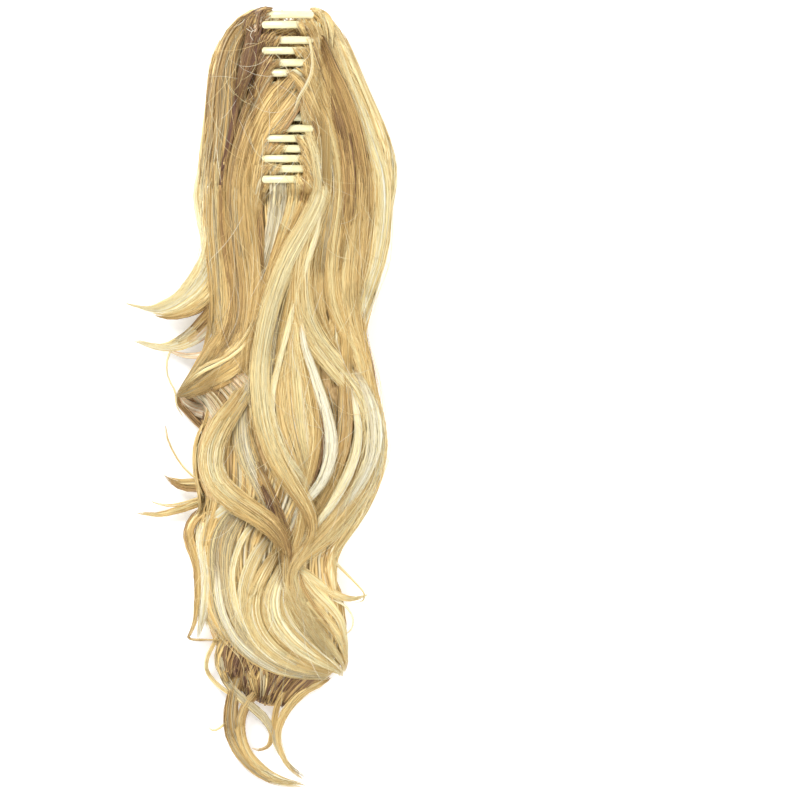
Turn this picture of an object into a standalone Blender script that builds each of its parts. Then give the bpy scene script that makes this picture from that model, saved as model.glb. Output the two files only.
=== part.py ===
"""Claw-clip ponytail hairpiece, lying on its outer side with the claw's teeth up.

Metres, +Z up. The origin is on the surface, below the middle of the outline. +Y runs
from the tail's end to the claw, +X to the right as the piece is seen from above.

The plan tables (outline, locks) are drawn on a grid of PLAN_LENGTH units to the full
length: x to the right, y down from the claw end. Heights in them are in millimetres.
"""

import math

import bmesh
import bpy
from mathutils import Matrix, Vector

# ---------------------------------------------------------------- driving dimensions
TOTAL_LENGTH = 0.560  # 22 inches, claw end to the tip of the end curl
PLAN_LENGTH = 785.0  # plan units to the full length
UNIT = TOTAL_LENGTH / PLAN_LENGTH
PLAN_X0, PLAN_Y0 = 258.5, 399.5  # plan position of the origin
MM = 0.001
GAP = 0.0003  # between pieces

CLAW_X = 288.5  # plan x of the claw's middle line
CLAW_TOP = 12.0  # plan y of its end
CLAW_LENGTH = 0.1235
HINGE_Z = 0.025
WALL = 0.0022  # thickness of the jaw wall
LEVER_THICK = 0.0024
LEVER_ANGLE = -35.0  # degrees from level
LEVER_LENGTH = 0.0190
LEVER_SPAN = (24.0, 97.0)  # mm from the claw's end
TOOTH_RADIUS = 0.0020  # half its thickness
TOOTH_BREADTH = 1.38  # its breadth along the claw to its thickness
KNUCKLE_RADIUS = 0.0034
HOLE_RADIUS = 0.0015
PIN_RADIUS = 0.0012
NOTCH_RADIUS = 0.0060  # room for the other jaw's knuckles
TUNNEL_RADIUS = 0.0205  # the levers swing inside it
SPRING_WIRE = 0.0005
SPRING_RADIUS = 0.0026
SPRING_TURNS = 7

# Teeth, mm from the claw's end. The left jaw's tips point right, the right jaw's left.
TEETH = {
    "left": (3.4, 21.6, 37.6, 53.5, 68.5, 84.2, 98.6, 112.8),
    "right": (10.6, 29.0, 44.9, 60.6, 76.3, 91.3, 105.6, 120.2),
}
# Knuckles, mm from the claw's end: first and last.
KNUCKLES = {
    "left": ((22.0, 32.0), (89.0, 99.0)),
    "right": ((33.0, 43.0), (78.0, 88.0)),
}
# The right jaw's section from the hinge, mm: u outwards, w up. The left is its mirror.
WALL_SECTION = ((0.0, 0.0), (4.0, 1.4), (8.0, 3.2), (14.5, 7.0), (19.0, 12.5), (20.8, 19.0), (20.8, 26.0))
TOOTH_SECTION = (
    (19.6, 14.0),
    (20.8, 19.0),
    (20.7, 26.0),
    (18.6, 32.5),
    (13.5, 37.6),
    (5.0, 40.4),
    (-4.0, 40.7),
    (-12.0, 39.2),
    (-16.2, 37.6),
)
# The room that the claw takes, mm from the hinge: the right half's outer edge.
CLAW_ROOM = ((23.6, 60.0), (23.6, 14.0), (22.2, 7.0), (20.6, 2.0))

# ---------------------------------------------------------------- hair tables
# x, y on the plan; z: height of the middle, mm; r: half width, plan units.
# The mass on each side of the claw and below it: flatness (height to width), rows.
HAIR_MASSES = {
    "left_lobe": (1.12, (
        (262, 11, 24, 8), (252, 27, 25, 19), (245, 50, 25, 27), (240, 66, 25, 29),
        (238, 86, 25, 29), (237, 107, 25, 30), (235, 130, 25, 31), (234, 161, 25, 32),
        (232, 195, 25, 34),
    )),
    "left_underside": (0.62, (
        (268, 12, 7, 17), (266, 40, 7, 25), (264, 90, 7, 27), (262, 150, 7, 29), (262, 200, 7, 30),
    )),
    "right_lobe": (1.12, (
        (315, 11, 24, 8), (317, 25, 25, 18), (322, 45, 25, 24), (327, 62, 25, 26),
        (334, 84, 25, 28), (342, 107, 25, 30), (350, 130, 25, 33), (357, 161, 25, 36),
        (358, 195, 25, 36),
    )),
    "right_underside": (0.62, (
        (309, 12, 7, 17), (311, 40, 7, 25), (313, 90, 7, 27), (316, 150, 7, 30), (317, 200, 7, 32),
    )),
}
# The tail's core: its middle x, y and half width; its height follows its width.
TAIL_CORE = (
    (294, 184, 96), (295, 205, 95), (298, 235, 90), (296, 265, 84), (294, 295, 77),
    (288, 325, 72), (288, 350, 71), (292, 380, 76), (293, 415, 84), (292, 450, 88),
    (288, 485, 82), (280, 512, 72), (270, 540, 68), (268, 570, 67), (269, 600, 69),
    (274, 630, 65), (279, 652, 56), (276, 672, 42), (268, 690, 26), (262, 700, 16),
)
CORE_FLATNESS = 0.36
LOCK_FLATNESS = 0.62
# The waves on top of the mass.
WAVES = {
    "left_edge": (
        (246, 14, 32, 7), (232, 36, 37, 9), (224, 62, 40, 10), (220, 100, 41, 11), (218, 140, 40, 11),
        (214, 183, 38, 11), (214, 215, 35, 11), (220, 260, 32, 11), (226, 300, 30, 10), (230, 335, 28, 9),
    ),
    "left_inner": (
        (250, 44, 38, 8), (246, 70, 43, 9), (241, 110, 45, 10), (239, 150, 45, 11), (240, 190, 43, 12),
        (244, 230, 41, 12), (246, 270, 39, 12), (240, 310, 37, 11), (238, 350, 34, 9),
    ),
    "right_edge": (
        (319, 14, 32, 7), (334, 40, 38, 9), (345, 70, 41, 10), (354, 100, 42, 11), (363, 130, 42, 12),
        (371, 165, 41, 13), (375, 200, 38, 13), (374, 240, 35, 12), (366, 280, 32, 11), (357, 325, 29, 8),
    ),
    "right_inner": (
        (324, 46, 39, 8), (329, 80, 44, 10), (335, 120, 46, 11), (342, 160, 46, 12), (347, 200, 44, 13),
        (348, 240, 42, 12), (344, 280, 40, 12), (344, 312, 38, 11), (354, 348, 35, 10), (368, 384, 30, 9),
    ),
    "grey": (
        (280, 196, 40, 11), (276, 222, 40, 12), (268, 252, 39, 12), (258, 284, 37, 12), (246, 316, 34, 11),
        (240, 344, 32, 10),
    ),
    "centre": (
        (317, 190, 46, 13), (292, 237, 45, 14), (273, 272, 42, 14), (260, 304, 40, 14),
        (254, 337, 38, 14), (250, 371, 38, 15), (252, 419, 40, 16), (260, 445, 40, 16),
        (272, 470, 39, 15), (288, 492, 37, 13), (306, 511, 34, 9),
    ),
    "middle": (
        (300, 225, 43, 11), (299, 270, 42, 12), (300, 310, 41, 13), (302, 345, 40, 13), (312, 385, 39, 13),
        (322, 420, 39, 13), (322, 450, 38, 12), (314, 480, 36, 11), (304, 498, 34, 9),
    ),
    "left_curl": (
        (248, 388, 36, 10), (226, 413, 33, 12), (209, 438, 28, 13), (205, 461, 26, 13),
        (209, 482, 27, 13), (222, 498, 30, 13), (242, 511, 32, 13), (263, 524, 33, 12),
        (280, 540, 33, 11), (287, 560, 29, 9),
    ),
    "right_loop": (
        (352, 372, 34, 10), (370, 398, 30, 12), (374, 423, 27, 12), (375, 448, 25, 12),
        (368, 474, 25, 12), (358, 496, 26, 12), (343, 517, 27, 12), (326, 534, 28, 12),
        (306, 550, 30, 11), (292, 568, 31, 10), (290, 586, 31, 10), (302, 607, 31, 9),
    ),
    "lower_left": ((222, 506, 24, 9), (203, 530, 21, 10), (204, 560, 21, 10), (207, 592, 21, 10), (216, 622, 20, 8)),
    "lower_curl": (
        (226, 585, 28, 11), (232, 608, 31, 12), (242, 630, 32, 12), (257, 647, 31, 12),
        (277, 661, 28, 11), (298, 668, 25, 10), (318, 670, 22, 8), (330, 671, 20, 6),
    ),
    "lower_middle": (
        (270, 545, 30, 9), (262, 572, 32, 12), (262, 602, 33, 13), (272, 628, 31, 12), (292, 644, 28, 10),
        (314, 652, 24, 8),
    ),
    "lower_right": ((306, 566, 28, 10), (322, 592, 27, 12), (330, 622, 25, 12), (336, 652, 20, 9)),
}
# Locks that stand clear of the tail, each a piece of its own.
SIDE_LOCKS = {
    "flick_upper": (
        (222, 246, 25, 8), (210, 266, 24, 9), (196, 284, 22, 9), (182, 299, 19, 8),
        (167, 309, 15, 6), (150, 312, 11, 4.5), (137, 309, 9, 3), (125, 303, 8, 1.2),
    ),
    "flick_lower": (
        (226, 306, 18, 6), (212, 321, 16, 7), (196, 335, 13, 6), (180, 344, 10, 5),
        (162, 347, 8, 4), (147, 345, 6, 2.6), (132, 341, 5, 1.2),
    ),
    "fold_lock": (
        (236, 362, 28, 9), (216, 371, 26, 10), (198, 382, 22, 9), (187, 393, 16, 8),
        (187, 405, 10, 7), (197, 417, 7, 8), (212, 424, 6, 8), (228, 424, 6, 7),
    ),
    "flick_right": ((322, 562, 18, 9), (334, 576, 15, 8), (346, 588, 12, 5), (362, 597, 10, 1.2)),
    "tuft_upper": ((214, 490, 13, 6), (196, 490, 12, 6), (180, 487, 11, 4.5), (165, 477, 11, 1.2)),
    "tuft_lower": (
        (218, 503, 6, 5), (196, 505, 6, 5), (178, 511, 6, 4.5), (158, 516, 5, 3.5), (136, 513, 4, 1.2),
    ),
    "end_curl_outer": (
        (246, 682, 9, 8), (236, 700, 8, 9), (233, 722, 8, 9), (238, 744, 7, 9),
        (250, 762, 6, 8.5), (267, 776, 6, 8), (286, 784, 5, 5.5), (304, 787, 4, 2),
    ),
    "end_curl_inner": (
        (302, 672, 11, 7), (288, 696, 8, 7), (277, 715, 7, 6.5), (272, 734, 6, 5),
        (278, 750, 5, 3.6), (288, 763, 4, 2.6), (303, 775, 3, 1.2),
    ),
}
WEFT_END = 187.5  # plan y where the hair blocks of the claw end and the tail begins

VOXEL = 0.0032
HAIR_TRIANGLES = 6600

# Colour (linear), roughness, metallic
FINISH = {
    "cream_plastic": ((0.87, 0.82, 0.58), 0.30, 0.0),
    "steel": ((0.62, 0.62, 0.64), 0.28, 1.0),
    "blonde_hair": ((0.72, 0.50, 0.22), 0.45, 0.0),
    "pale_hair": ((0.82, 0.64, 0.34), 0.45, 0.0),
}


# ---------------------------------------------------------------- helpers
Z_ONTO_Y = Matrix.Rotation(math.radians(-90), 3, "X")


def place(x, y, z_mm):
    """A point of the plan in metres."""
    return Vector(((x - PLAN_X0) * UNIT, (PLAN_Y0 - y) * UNIT, z_mm * MM))


def claw_point(u_mm, v_mm, w_mm):
    """A point of the claw: u right of the hinge, v from the claw's end, w above the hinge, in mm."""
    start = place(CLAW_X, CLAW_TOP, 0)
    return Vector((start.x + u_mm * MM, start.y - v_mm * MM, HINGE_Z + w_mm * MM))


def material(name):
    found = bpy.data.materials.get(name)
    if found is None:
        colour, roughness, metallic = FINISH[name]
        found = bpy.data.materials.new(name)
        found.use_nodes = True
        shader = found.node_tree.nodes["Principled BSDF"]
        shader.inputs["Base Color"].default_value = (*colour, 1)
        shader.inputs["Roughness"].default_value = roughness
        shader.inputs["Metallic"].default_value = metallic
        found.diffuse_color = (*colour, 1)
    return found


def smooth(rows, steps=5):
    """Points on a Catmull-Rom curve through the rows, which may have any number of columns."""
    points = []
    count = len(rows)
    for i in range(count - 1):
        a, b = rows[max(i - 1, 0)], rows[i]
        c, d = rows[i + 1], rows[min(i + 2, count - 1)]
        for k in range(steps):
            t = k / steps
            points.append(
                [
                    0.5 * (2 * q + (r - p) * t + (2 * p - 5 * q + 4 * r - s) * t * t + (3 * q - p - 3 * r + s) * t**3)
                    for p, q, r, s in zip(a, b, c, d)
                ]
            )
    points.append(list(rows[-1]))
    return points


def tube_mesh(name, points, radii, sides_level=2, flatness=1.0):
    """A closed tube as a mesh: points in metres, a radius at each; flatness scales its height."""
    curve = bpy.data.curves.new(name, "CURVE")
    curve.dimensions = "3D"
    curve.bevel_depth = 1.0
    curve.bevel_resolution = sides_level
    curve.use_fill_caps = True
    spline = curve.splines.new("POLY")
    spline.points.add(len(points) - 1)
    for p, co, radius in zip(spline.points, points, radii):
        p.co = (co[0], co[1], co[2] / flatness, 1)
        p.radius = radius
    guide = bpy.data.objects.new(name, curve)
    bpy.context.scene.collection.objects.link(guide)
    bpy.context.view_layer.update()
    graph = bpy.context.evaluated_depsgraph_get()
    mesh = bpy.data.meshes.new_from_object(guide.evaluated_get(graph), depsgraph=graph)
    bpy.data.objects.remove(guide)
    bm = bmesh.new()
    bm.from_mesh(mesh)
    bmesh.ops.remove_doubles(bm, verts=bm.verts, dist=1e-6)
    bmesh.ops.scale(bm, vec=(1, 1, flatness), verts=bm.verts)
    bmesh.ops.recalc_face_normals(bm, faces=bm.faces)
    bm.to_mesh(mesh)
    bm.free()
    return mesh


def new_object(name, mesh, collection, finish=None):
    mesh.name = name
    obj = bpy.data.objects.new(name, mesh)
    collection.objects.link(obj)
    if finish:
        mesh.materials.clear()
        mesh.materials.append(material(finish))
    else:
        obj.hide_render = True
        obj.display_type = "WIRE"
    return obj


def joined(meshes):
    """One mesh holding several closed ones."""
    bm = bmesh.new()
    for mesh in meshes:
        bm.from_mesh(mesh)
        bpy.data.meshes.remove(mesh)
    whole = bpy.data.meshes.new("joined")
    bm.to_mesh(whole)
    bm.free()
    return whole


def box_mesh(low, high):
    bm = bmesh.new()
    bmesh.ops.create_cube(bm, size=1.0)
    for v in bm.verts:
        v.co = Vector([lo + (c + 0.5) * (hi - lo) for c, lo, hi in zip(v.co, low, high)])
    mesh = bpy.data.meshes.new("box")
    bm.to_mesh(mesh)
    bm.free()
    return mesh


def rod_mesh(v_from, v_to, radius, segments=24):
    """A cylinder along the hinge, from v_from to v_to mm. Its sides touch the radius given."""
    bm = bmesh.new()
    bmesh.ops.create_cone(
        bm, cap_ends=True, segments=segments, radius1=radius, radius2=radius, depth=(v_to - v_from) * MM
    )
    bmesh.ops.rotate(bm, cent=(0, 0, 0), verts=bm.verts, matrix=Z_ONTO_Y)
    bmesh.ops.translate(bm, vec=claw_point(0, (v_from + v_to) / 2, 0), verts=bm.verts)
    mesh = bpy.data.meshes.new("rod")
    bm.to_mesh(mesh)
    bm.free()
    return mesh


def prism_mesh(section, y_from, y_to):
    """A section of (x, z) points, in metres and counter-clockwise as seen from -Y, pulled along Y."""
    bm = bmesh.new()
    face = bm.faces.new([bm.verts.new((x, y_from, z)) for x, z in section])
    pulled = bmesh.ops.extrude_face_region(bm, geom=[face])
    moved = [g for g in pulled["geom"] if isinstance(g, bmesh.types.BMVert)]
    bmesh.ops.translate(bm, vec=(0, y_to - y_from, 0), verts=moved)
    bmesh.ops.recalc_face_normals(bm, faces=bm.faces)
    mesh = bpy.data.meshes.new("prism")
    bm.to_mesh(mesh)
    bm.free()
    return mesh


def strip_section(line, thickness):
    """The outline of a strip of this thickness along a line of (u, w) points."""
    left, right = [], []
    for i, (u, w) in enumerate(line):
        before, after = line[max(i - 1, 0)], line[min(i + 1, len(line) - 1)]
        du, dw = after[0] - before[0], after[1] - before[1]
        size = math.hypot(du, dw)
        nu, nw = -dw / size * thickness / 2, du / size * thickness / 2
        left.append((u + nu, w + nw))
        right.append((u - nu, w - nw))
    return left + right[::-1]


def boolean(obj, tool, operation):
    cut = obj.modifiers.new(tool.name, "BOOLEAN")
    cut.operation = operation
    cut.object = tool
    cut.solver = "EXACT"
    return cut


def bake_modifiers(obj):
    """Makes the evaluated mesh the object's own."""
    bpy.context.view_layer.update()
    graph = bpy.context.evaluated_depsgraph_get()
    mesh = bpy.data.meshes.new_from_object(obj.evaluated_get(graph), depsgraph=graph)
    obj.modifiers.clear()
    old, obj.data = obj.data, mesh
    mesh.name = obj.name
    bpy.data.meshes.remove(old)
    return obj


def keep_largest(obj):
    """Drops crumbs that a cut leaves beside the main body."""
    bm = bmesh.new()
    bm.from_mesh(obj.data)
    bm.verts.ensure_lookup_table()
    seen, islands = set(), []
    for start in bm.verts:
        if start in seen:
            continue
        island, todo = [], [start]
        seen.add(start)
        while todo:
            v = todo.pop()
            island.append(v)
            for e in v.link_edges:
                o = e.other_vert(v)
                if o not in seen:
                    seen.add(o)
                    todo.append(o)
        islands.append(island)
    islands.sort(key=len, reverse=True)
    for island in islands[1:]:
        bmesh.ops.delete(bm, geom=island, context="VERTS")
    bm.to_mesh(obj.data)
    bm.free()


# ---------------------------------------------------------------- the claw
def build_jaw(side, parts, cutters):
    """One jaw: wall, finger lever and ribs that run on as teeth, on its own knuckles."""
    sign = 1 if side == "right" else -1
    top, end = claw_point(0, 0, 0).y, claw_point(0, CLAW_LENGTH / MM, 0).y

    def section(line, thickness):
        outline = strip_section([(u * MM, w * MM) for u, w in line], thickness)
        origin = claw_point(0, 0, 0)
        points = [(origin.x + sign * u, HINGE_Z + w) for u, w in outline]
        return points if sign > 0 else points[::-1]

    angle = math.radians(LEVER_ANGLE)
    lever_line = [(0.0, 0.0), (LEVER_LENGTH / MM * math.cos(angle), LEVER_LENGTH / MM * math.sin(angle))]
    jaw = new_object("jaw_" + side, prism_mesh(section(WALL_SECTION, WALL), end, top), parts, "cream_plastic")
    tools = [
        prism_mesh(
            section(lever_line, LEVER_THICK), claw_point(0, LEVER_SPAN[1], 0).y, claw_point(0, LEVER_SPAN[0], 0).y
        )
    ]
    tip_u, tip_w = TOOTH_SECTION[-1]
    for v in TEETH[side]:
        rows = [(u, w, 1.0 + 0.012 * (tip_w - w) * (u > 0)) for u, w in smooth(TOOTH_SECTION, 2)]
        for step, shrink in ((0.9, 0.92), (1.5, 0.72), (1.95, 0.36)):
            rows.append((tip_u - step, tip_w - 0.42 * step, shrink))
        points = [claw_point(sign * u, v, w) for u, w, _ in rows]
        tooth = tube_mesh("tooth", points, [TOOTH_RADIUS * r for _, _, r in rows], 4)
        middle = points[0].y
        for vertex in tooth.vertices:
            vertex.co.y = middle + (vertex.co.y - middle) * TOOTH_BREADTH
        tools.append(tooth)
    for first, last in KNUCKLES[side]:
        tools.append(rod_mesh(first, last, KNUCKLE_RADIUS))
    own, past = KNUCKLES[side], CLAW_LENGTH / MM + 2.0
    free = [(-2.0, own[0][0] - GAP / MM), (own[0][1] + GAP / MM, own[1][0] - GAP / MM), (own[1][1] + GAP / MM, past)]
    lever = new_object(f"{side}_lever", tools[0], cutters)
    boolean(jaw, lever, "UNION")
    bake_modifiers(jaw)
    for first, last in free:
        notch = new_object(f"{side}_notch", rod_mesh(first, last, NOTCH_RADIUS, 32), cutters)
        boolean(jaw, notch, "DIFFERENCE")
    bake_modifiers(jaw)
    for i, mesh in enumerate(tools[1:]):
        tool = new_object(f"{side}_tool_{i}", mesh, cutters)
        boolean(jaw, tool, "UNION")
        bake_modifiers(jaw)
    hole = new_object(f"{side}_hole", rod_mesh(-2.0, past, HOLE_RADIUS, 20), cutters)
    boolean(jaw, hole, "DIFFERENCE")
    bake_modifiers(jaw)
    return jaw


def build_pin(parts):
    """A turned pin with a head at each end."""
    profile = ((0.0, 19.6), (2.2, 19.6), (2.4, 20.2), (2.4, 21.2), (PIN_RADIUS / MM, 21.2))
    middle = (KNUCKLES["left"][0][0] + KNUCKLES["left"][1][1]) / 2
    outline = list(profile) + [(r, 2 * middle - v) for r, v in reversed(profile)]
    bm = bmesh.new()
    verts = [bm.verts.new((r * MM, 0, (v - middle) * MM)) for r, v in outline]
    for a, b in zip(verts, verts[1:]):
        bm.edges.new((a, b))
    bmesh.ops.spin(
        bm, geom=bm.verts[:] + bm.edges[:], cent=(0, 0, 0), axis=(0, 0, 1), angle=2 * math.pi, steps=16,
        use_merge=True, use_duplicate=False,
    )
    bmesh.ops.remove_doubles(bm, verts=bm.verts, dist=1e-6)
    bmesh.ops.rotate(bm, cent=(0, 0, 0), verts=bm.verts, matrix=Z_ONTO_Y)
    bmesh.ops.recalc_face_normals(bm, faces=bm.faces)
    mesh = bpy.data.meshes.new("pin")
    bm.to_mesh(mesh)
    bm.free()
    pin = new_object("hinge_pin", mesh, parts, "steel")
    pin.location = claw_point(0, middle, 0)
    return pin


def build_spring(parts):
    """A torsion spring round the pin. Its legs lie along the inner faces of the levers."""
    turns, pitch, per_turn = SPRING_TURNS + 110.0 / 360.0, 1.5, 9
    length = turns * pitch
    start_v = (KNUCKLES["right"][0][1] + KNUCKLES["right"][1][0]) / 2 - length / 2
    right = math.radians(LEVER_ANGLE)
    left = math.pi - right
    leg = 11.5
    first = right - math.pi / 2  # the tangent point of the right leg
    points = []
    count = int(turns * per_turn)
    r = SPRING_RADIUS / MM
    for k in range(count + 1):
        a = first - 2 * math.pi * turns * k / count
        points.append((r * math.cos(a), start_v + length * k / count, r * math.sin(a)))
    a_end = first - 2 * math.pi * turns
    tail_dir = (math.sin(a_end), -math.cos(a_end))
    lead = (r * math.cos(first) + leg * math.cos(right), start_v, r * math.sin(first) + leg * math.sin(right))
    trail = (points[-1][0] + leg * tail_dir[0], points[-1][1], points[-1][2] + leg * tail_dir[1])
    route = [lead, *points, trail]
    world = [claw_point(u, v, w) for u, v, w in route]
    mesh = tube_mesh("spring", world, [SPRING_WIRE] * len(world), 1)
    return new_object("spring", mesh, parts, "steel")


# ---------------------------------------------------------------- the hair
def lock_mesh(rows, flatness, steps=5, level=3):
    path = smooth(rows, steps)
    return tube_mesh(
        "lock", [place(x, y, z) for x, y, z, _ in path], [max(r, 0.6) * UNIT for *_, r in path], level, flatness
    )


def hair_form(collection):
    """All the locks of the mass grown together into one soft closed form, with few faces."""
    core = [(x, y, r * UNIT / MM * CORE_FLATNESS - 1.5, r) for x, y, r in TAIL_CORE]
    meshes = [lock_mesh(core, CORE_FLATNESS, 4, 6)]
    meshes += [lock_mesh(rows, flatness) for flatness, rows in HAIR_MASSES.values()]
    meshes += [lock_mesh(rows, LOCK_FLATNESS) for rows in WAVES.values()]
    form = new_object("hair_form", joined(meshes), collection)
    remesh = form.modifiers.new("grown_together", "REMESH")
    remesh.mode = "VOXEL"
    remesh.voxel_size = VOXEL
    soften = form.modifiers.new("soften", "SMOOTH")
    soften.factor = 0.5
    soften.iterations = 3
    bake_modifiers(form)
    keep_largest(form)
    triangles = sum(len(p.vertices) - 2 for p in form.data.polygons)
    thin = form.modifiers.new("thin", "DECIMATE")
    thin.ratio = min(1.0, HAIR_TRIANGLES / triangles)
    bake_modifiers(form)
    return form


def claw_room(cutters):
    """The space of the claw: the tunnel of its levers below, and between its walls above."""
    right = [(u * MM, w * MM) for u, w in CLAW_ROOM]
    arc = [
        (TUNNEL_RADIUS * math.cos(a), TUNNEL_RADIUS * math.sin(a))
        for a in [math.radians(-10.0 * k) for k in range(0, 19)]
    ]
    left = [(-u, w) for u, w in reversed(right)]
    origin = claw_point(0, 0, 0)
    section = [(origin.x + u, HINGE_Z + w) for u, w in [*right, *arc, *left]]
    return new_object("claw_room", prism_mesh(section, claw_point(0, 130, 0).y, claw_point(0, -10, 0).y), cutters)


def build_hair(parts, cutters):
    """The hair on each jaw, round the claw's room, and the tail below the claw."""
    form = hair_form(cutters)
    room = claw_room(cutters)
    parting = claw_point(0, 0, 0).x
    weft_end = place(0, WEFT_END, 0).y
    blocks = []
    for name, low, high in (
        ("hair_left", (-0.5, weft_end + GAP / 2, 0), (parting - GAP / 2, 0.5, 0.2)),
        ("hair_right", (parting + GAP / 2, weft_end + GAP / 2, 0), (0.5, 0.5, 0.2)),
        ("tail", (-0.5, -0.5, 0), (0.5, weft_end - GAP / 2, 0.2)),
    ):
        block = new_object(name, form.data.copy(), parts, "blonde_hair")
        boolean(block, new_object(name + "_side", box_mesh(low, high), cutters), "INTERSECT")
        bake_modifiers(block)
        if name != "tail":
            boolean(block, room, "DIFFERENCE")
            bake_modifiers(block)
        keep_largest(block)
        blocks.append(block)
    return blocks


def build_side_locks(tail, parts, cutters):
    grown = new_object("tail_grown", tail.data.copy(), cutters)
    swell = grown.modifiers.new("swell", "DISPLACE")
    swell.strength = 1.3 * GAP
    swell.mid_level = 0
    bake_modifiers(grown)
    for name, rows in SIDE_LOCKS.items():
        flatness = 0.7
        safe = [(x, y, max(z, r * UNIT / MM * flatness + 0.25), r) for x, y, z, r in rows]
        lock = new_object(name, lock_mesh(safe, flatness, 3, 2), parts, "pale_hair")
        boolean(lock, grown, "DIFFERENCE")
        bake_modifiers(lock)
        keep_largest(lock)


# ---------------------------------------------------------------- build
def main():
    for obj in list(bpy.data.objects):
        bpy.data.objects.remove(obj)
    parts = bpy.data.collections.new("ponytail_hairpiece")
    cutters = bpy.data.collections.new("cutters")
    for collection in (parts, cutters):
        bpy.context.scene.collection.children.link(collection)

    left = build_jaw("left", parts, cutters)
    right = build_jaw("right", parts, cutters)
    pin = build_pin(parts)
    spring = build_spring(parts)
    _, hair_right, tail = build_hair(parts, cutters)
    build_side_locks(tail, parts, cutters)

    hinge = bpy.data.objects.new("claw_hinge", None)
    hinge.location = claw_point(0, CLAW_LENGTH / MM / 2, 0)
    parts.objects.link(hinge)
    bpy.context.view_layer.update()
    for moving in (right, hair_right):
        moving.parent = hinge
        moving.matrix_parent_inverse = hinge.matrix_world.inverted()
    for obj in (left, right, pin, spring):
        obj.data.shade_smooth()
        obj.data.set_sharp_from_angle(angle=math.radians(40))
    for obj in parts.objects:
        if obj.type == "MESH" and obj.name not in ("jaw_left", "jaw_right"):
            obj.data.shade_smooth()


main()
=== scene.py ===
"""Looks of the claw-clip ponytail hairpiece: strands of hair in locks, a dense core, the claw's plastic and steel.

The hair is drawn on the plan grid of the construction: x to the right and y down, 785 units to the full
length of 0.56 m. Heights are in millimetres above the top surface of the hair solids, so each lock lies on
the form that carries it. A strand is a closed tube of three sides, round for a fine hair, broad and low for
the flat bands of hair under them.
"""

import math

import bmesh
import bpy
import numpy as np
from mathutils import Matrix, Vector
from mathutils.bvhtree import BVHTree


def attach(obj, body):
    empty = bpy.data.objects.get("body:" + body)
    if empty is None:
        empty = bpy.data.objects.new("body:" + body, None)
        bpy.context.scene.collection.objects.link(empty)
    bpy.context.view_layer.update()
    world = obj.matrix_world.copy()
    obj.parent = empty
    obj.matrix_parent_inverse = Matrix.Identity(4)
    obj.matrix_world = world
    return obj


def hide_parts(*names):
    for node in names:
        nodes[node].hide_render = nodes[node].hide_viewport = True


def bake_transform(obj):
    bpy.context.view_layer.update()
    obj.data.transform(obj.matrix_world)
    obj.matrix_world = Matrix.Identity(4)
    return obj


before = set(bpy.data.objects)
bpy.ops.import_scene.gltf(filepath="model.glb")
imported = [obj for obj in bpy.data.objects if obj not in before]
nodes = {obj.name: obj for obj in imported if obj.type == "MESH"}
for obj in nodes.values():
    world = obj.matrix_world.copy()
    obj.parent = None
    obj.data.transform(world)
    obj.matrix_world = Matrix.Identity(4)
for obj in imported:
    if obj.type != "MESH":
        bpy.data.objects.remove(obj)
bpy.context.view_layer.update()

# ---------------------------------------------------------------- drawing grid
UNIT = 0.560 / 785.0
X0, Y0 = 258.5, 399.5
MM = 0.001
UMM = UNIT / MM  # mm to a plan unit
RNG = np.random.default_rng(22)

ROOT, JAW = "hairpiece", "right_jaw"
CLAW_X, CLAW_TOP, HINGE_Z = 288.5, 12.0, 25.0

# ---------------------------------------------------------------- colours of the strands (sRGB), by strip of the map
STRIPS = (
    ("white", (254, 249, 226)),
    ("pale", (251, 240, 196)),
    ("light", (247, 229, 172)),
    ("gold", (239, 212, 149)),
    ("deep", (229, 197, 130)),
    ("honey", (214, 180, 115)),
    ("caramel", (194, 158, 100)),
    ("brown", (166, 131, 84)),
    ("dark", (132, 100, 68)),
    ("reddark", (106, 74, 56)),
    ("ashlight", (230, 219, 188)),
    ("ashmid", (208, 192, 152)),
    ("ashdark", (172, 153, 116)),
    ("peach", (238, 208, 170)),
    ("rootgold", (226, 196, 134)),
    ("rootdark", (200, 167, 110)),
)
STRIP = {name: i for i, (name, _) in enumerate(STRIPS)}
SUB = 16  # narrower strips in each, for strands of slightly different tone

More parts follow.
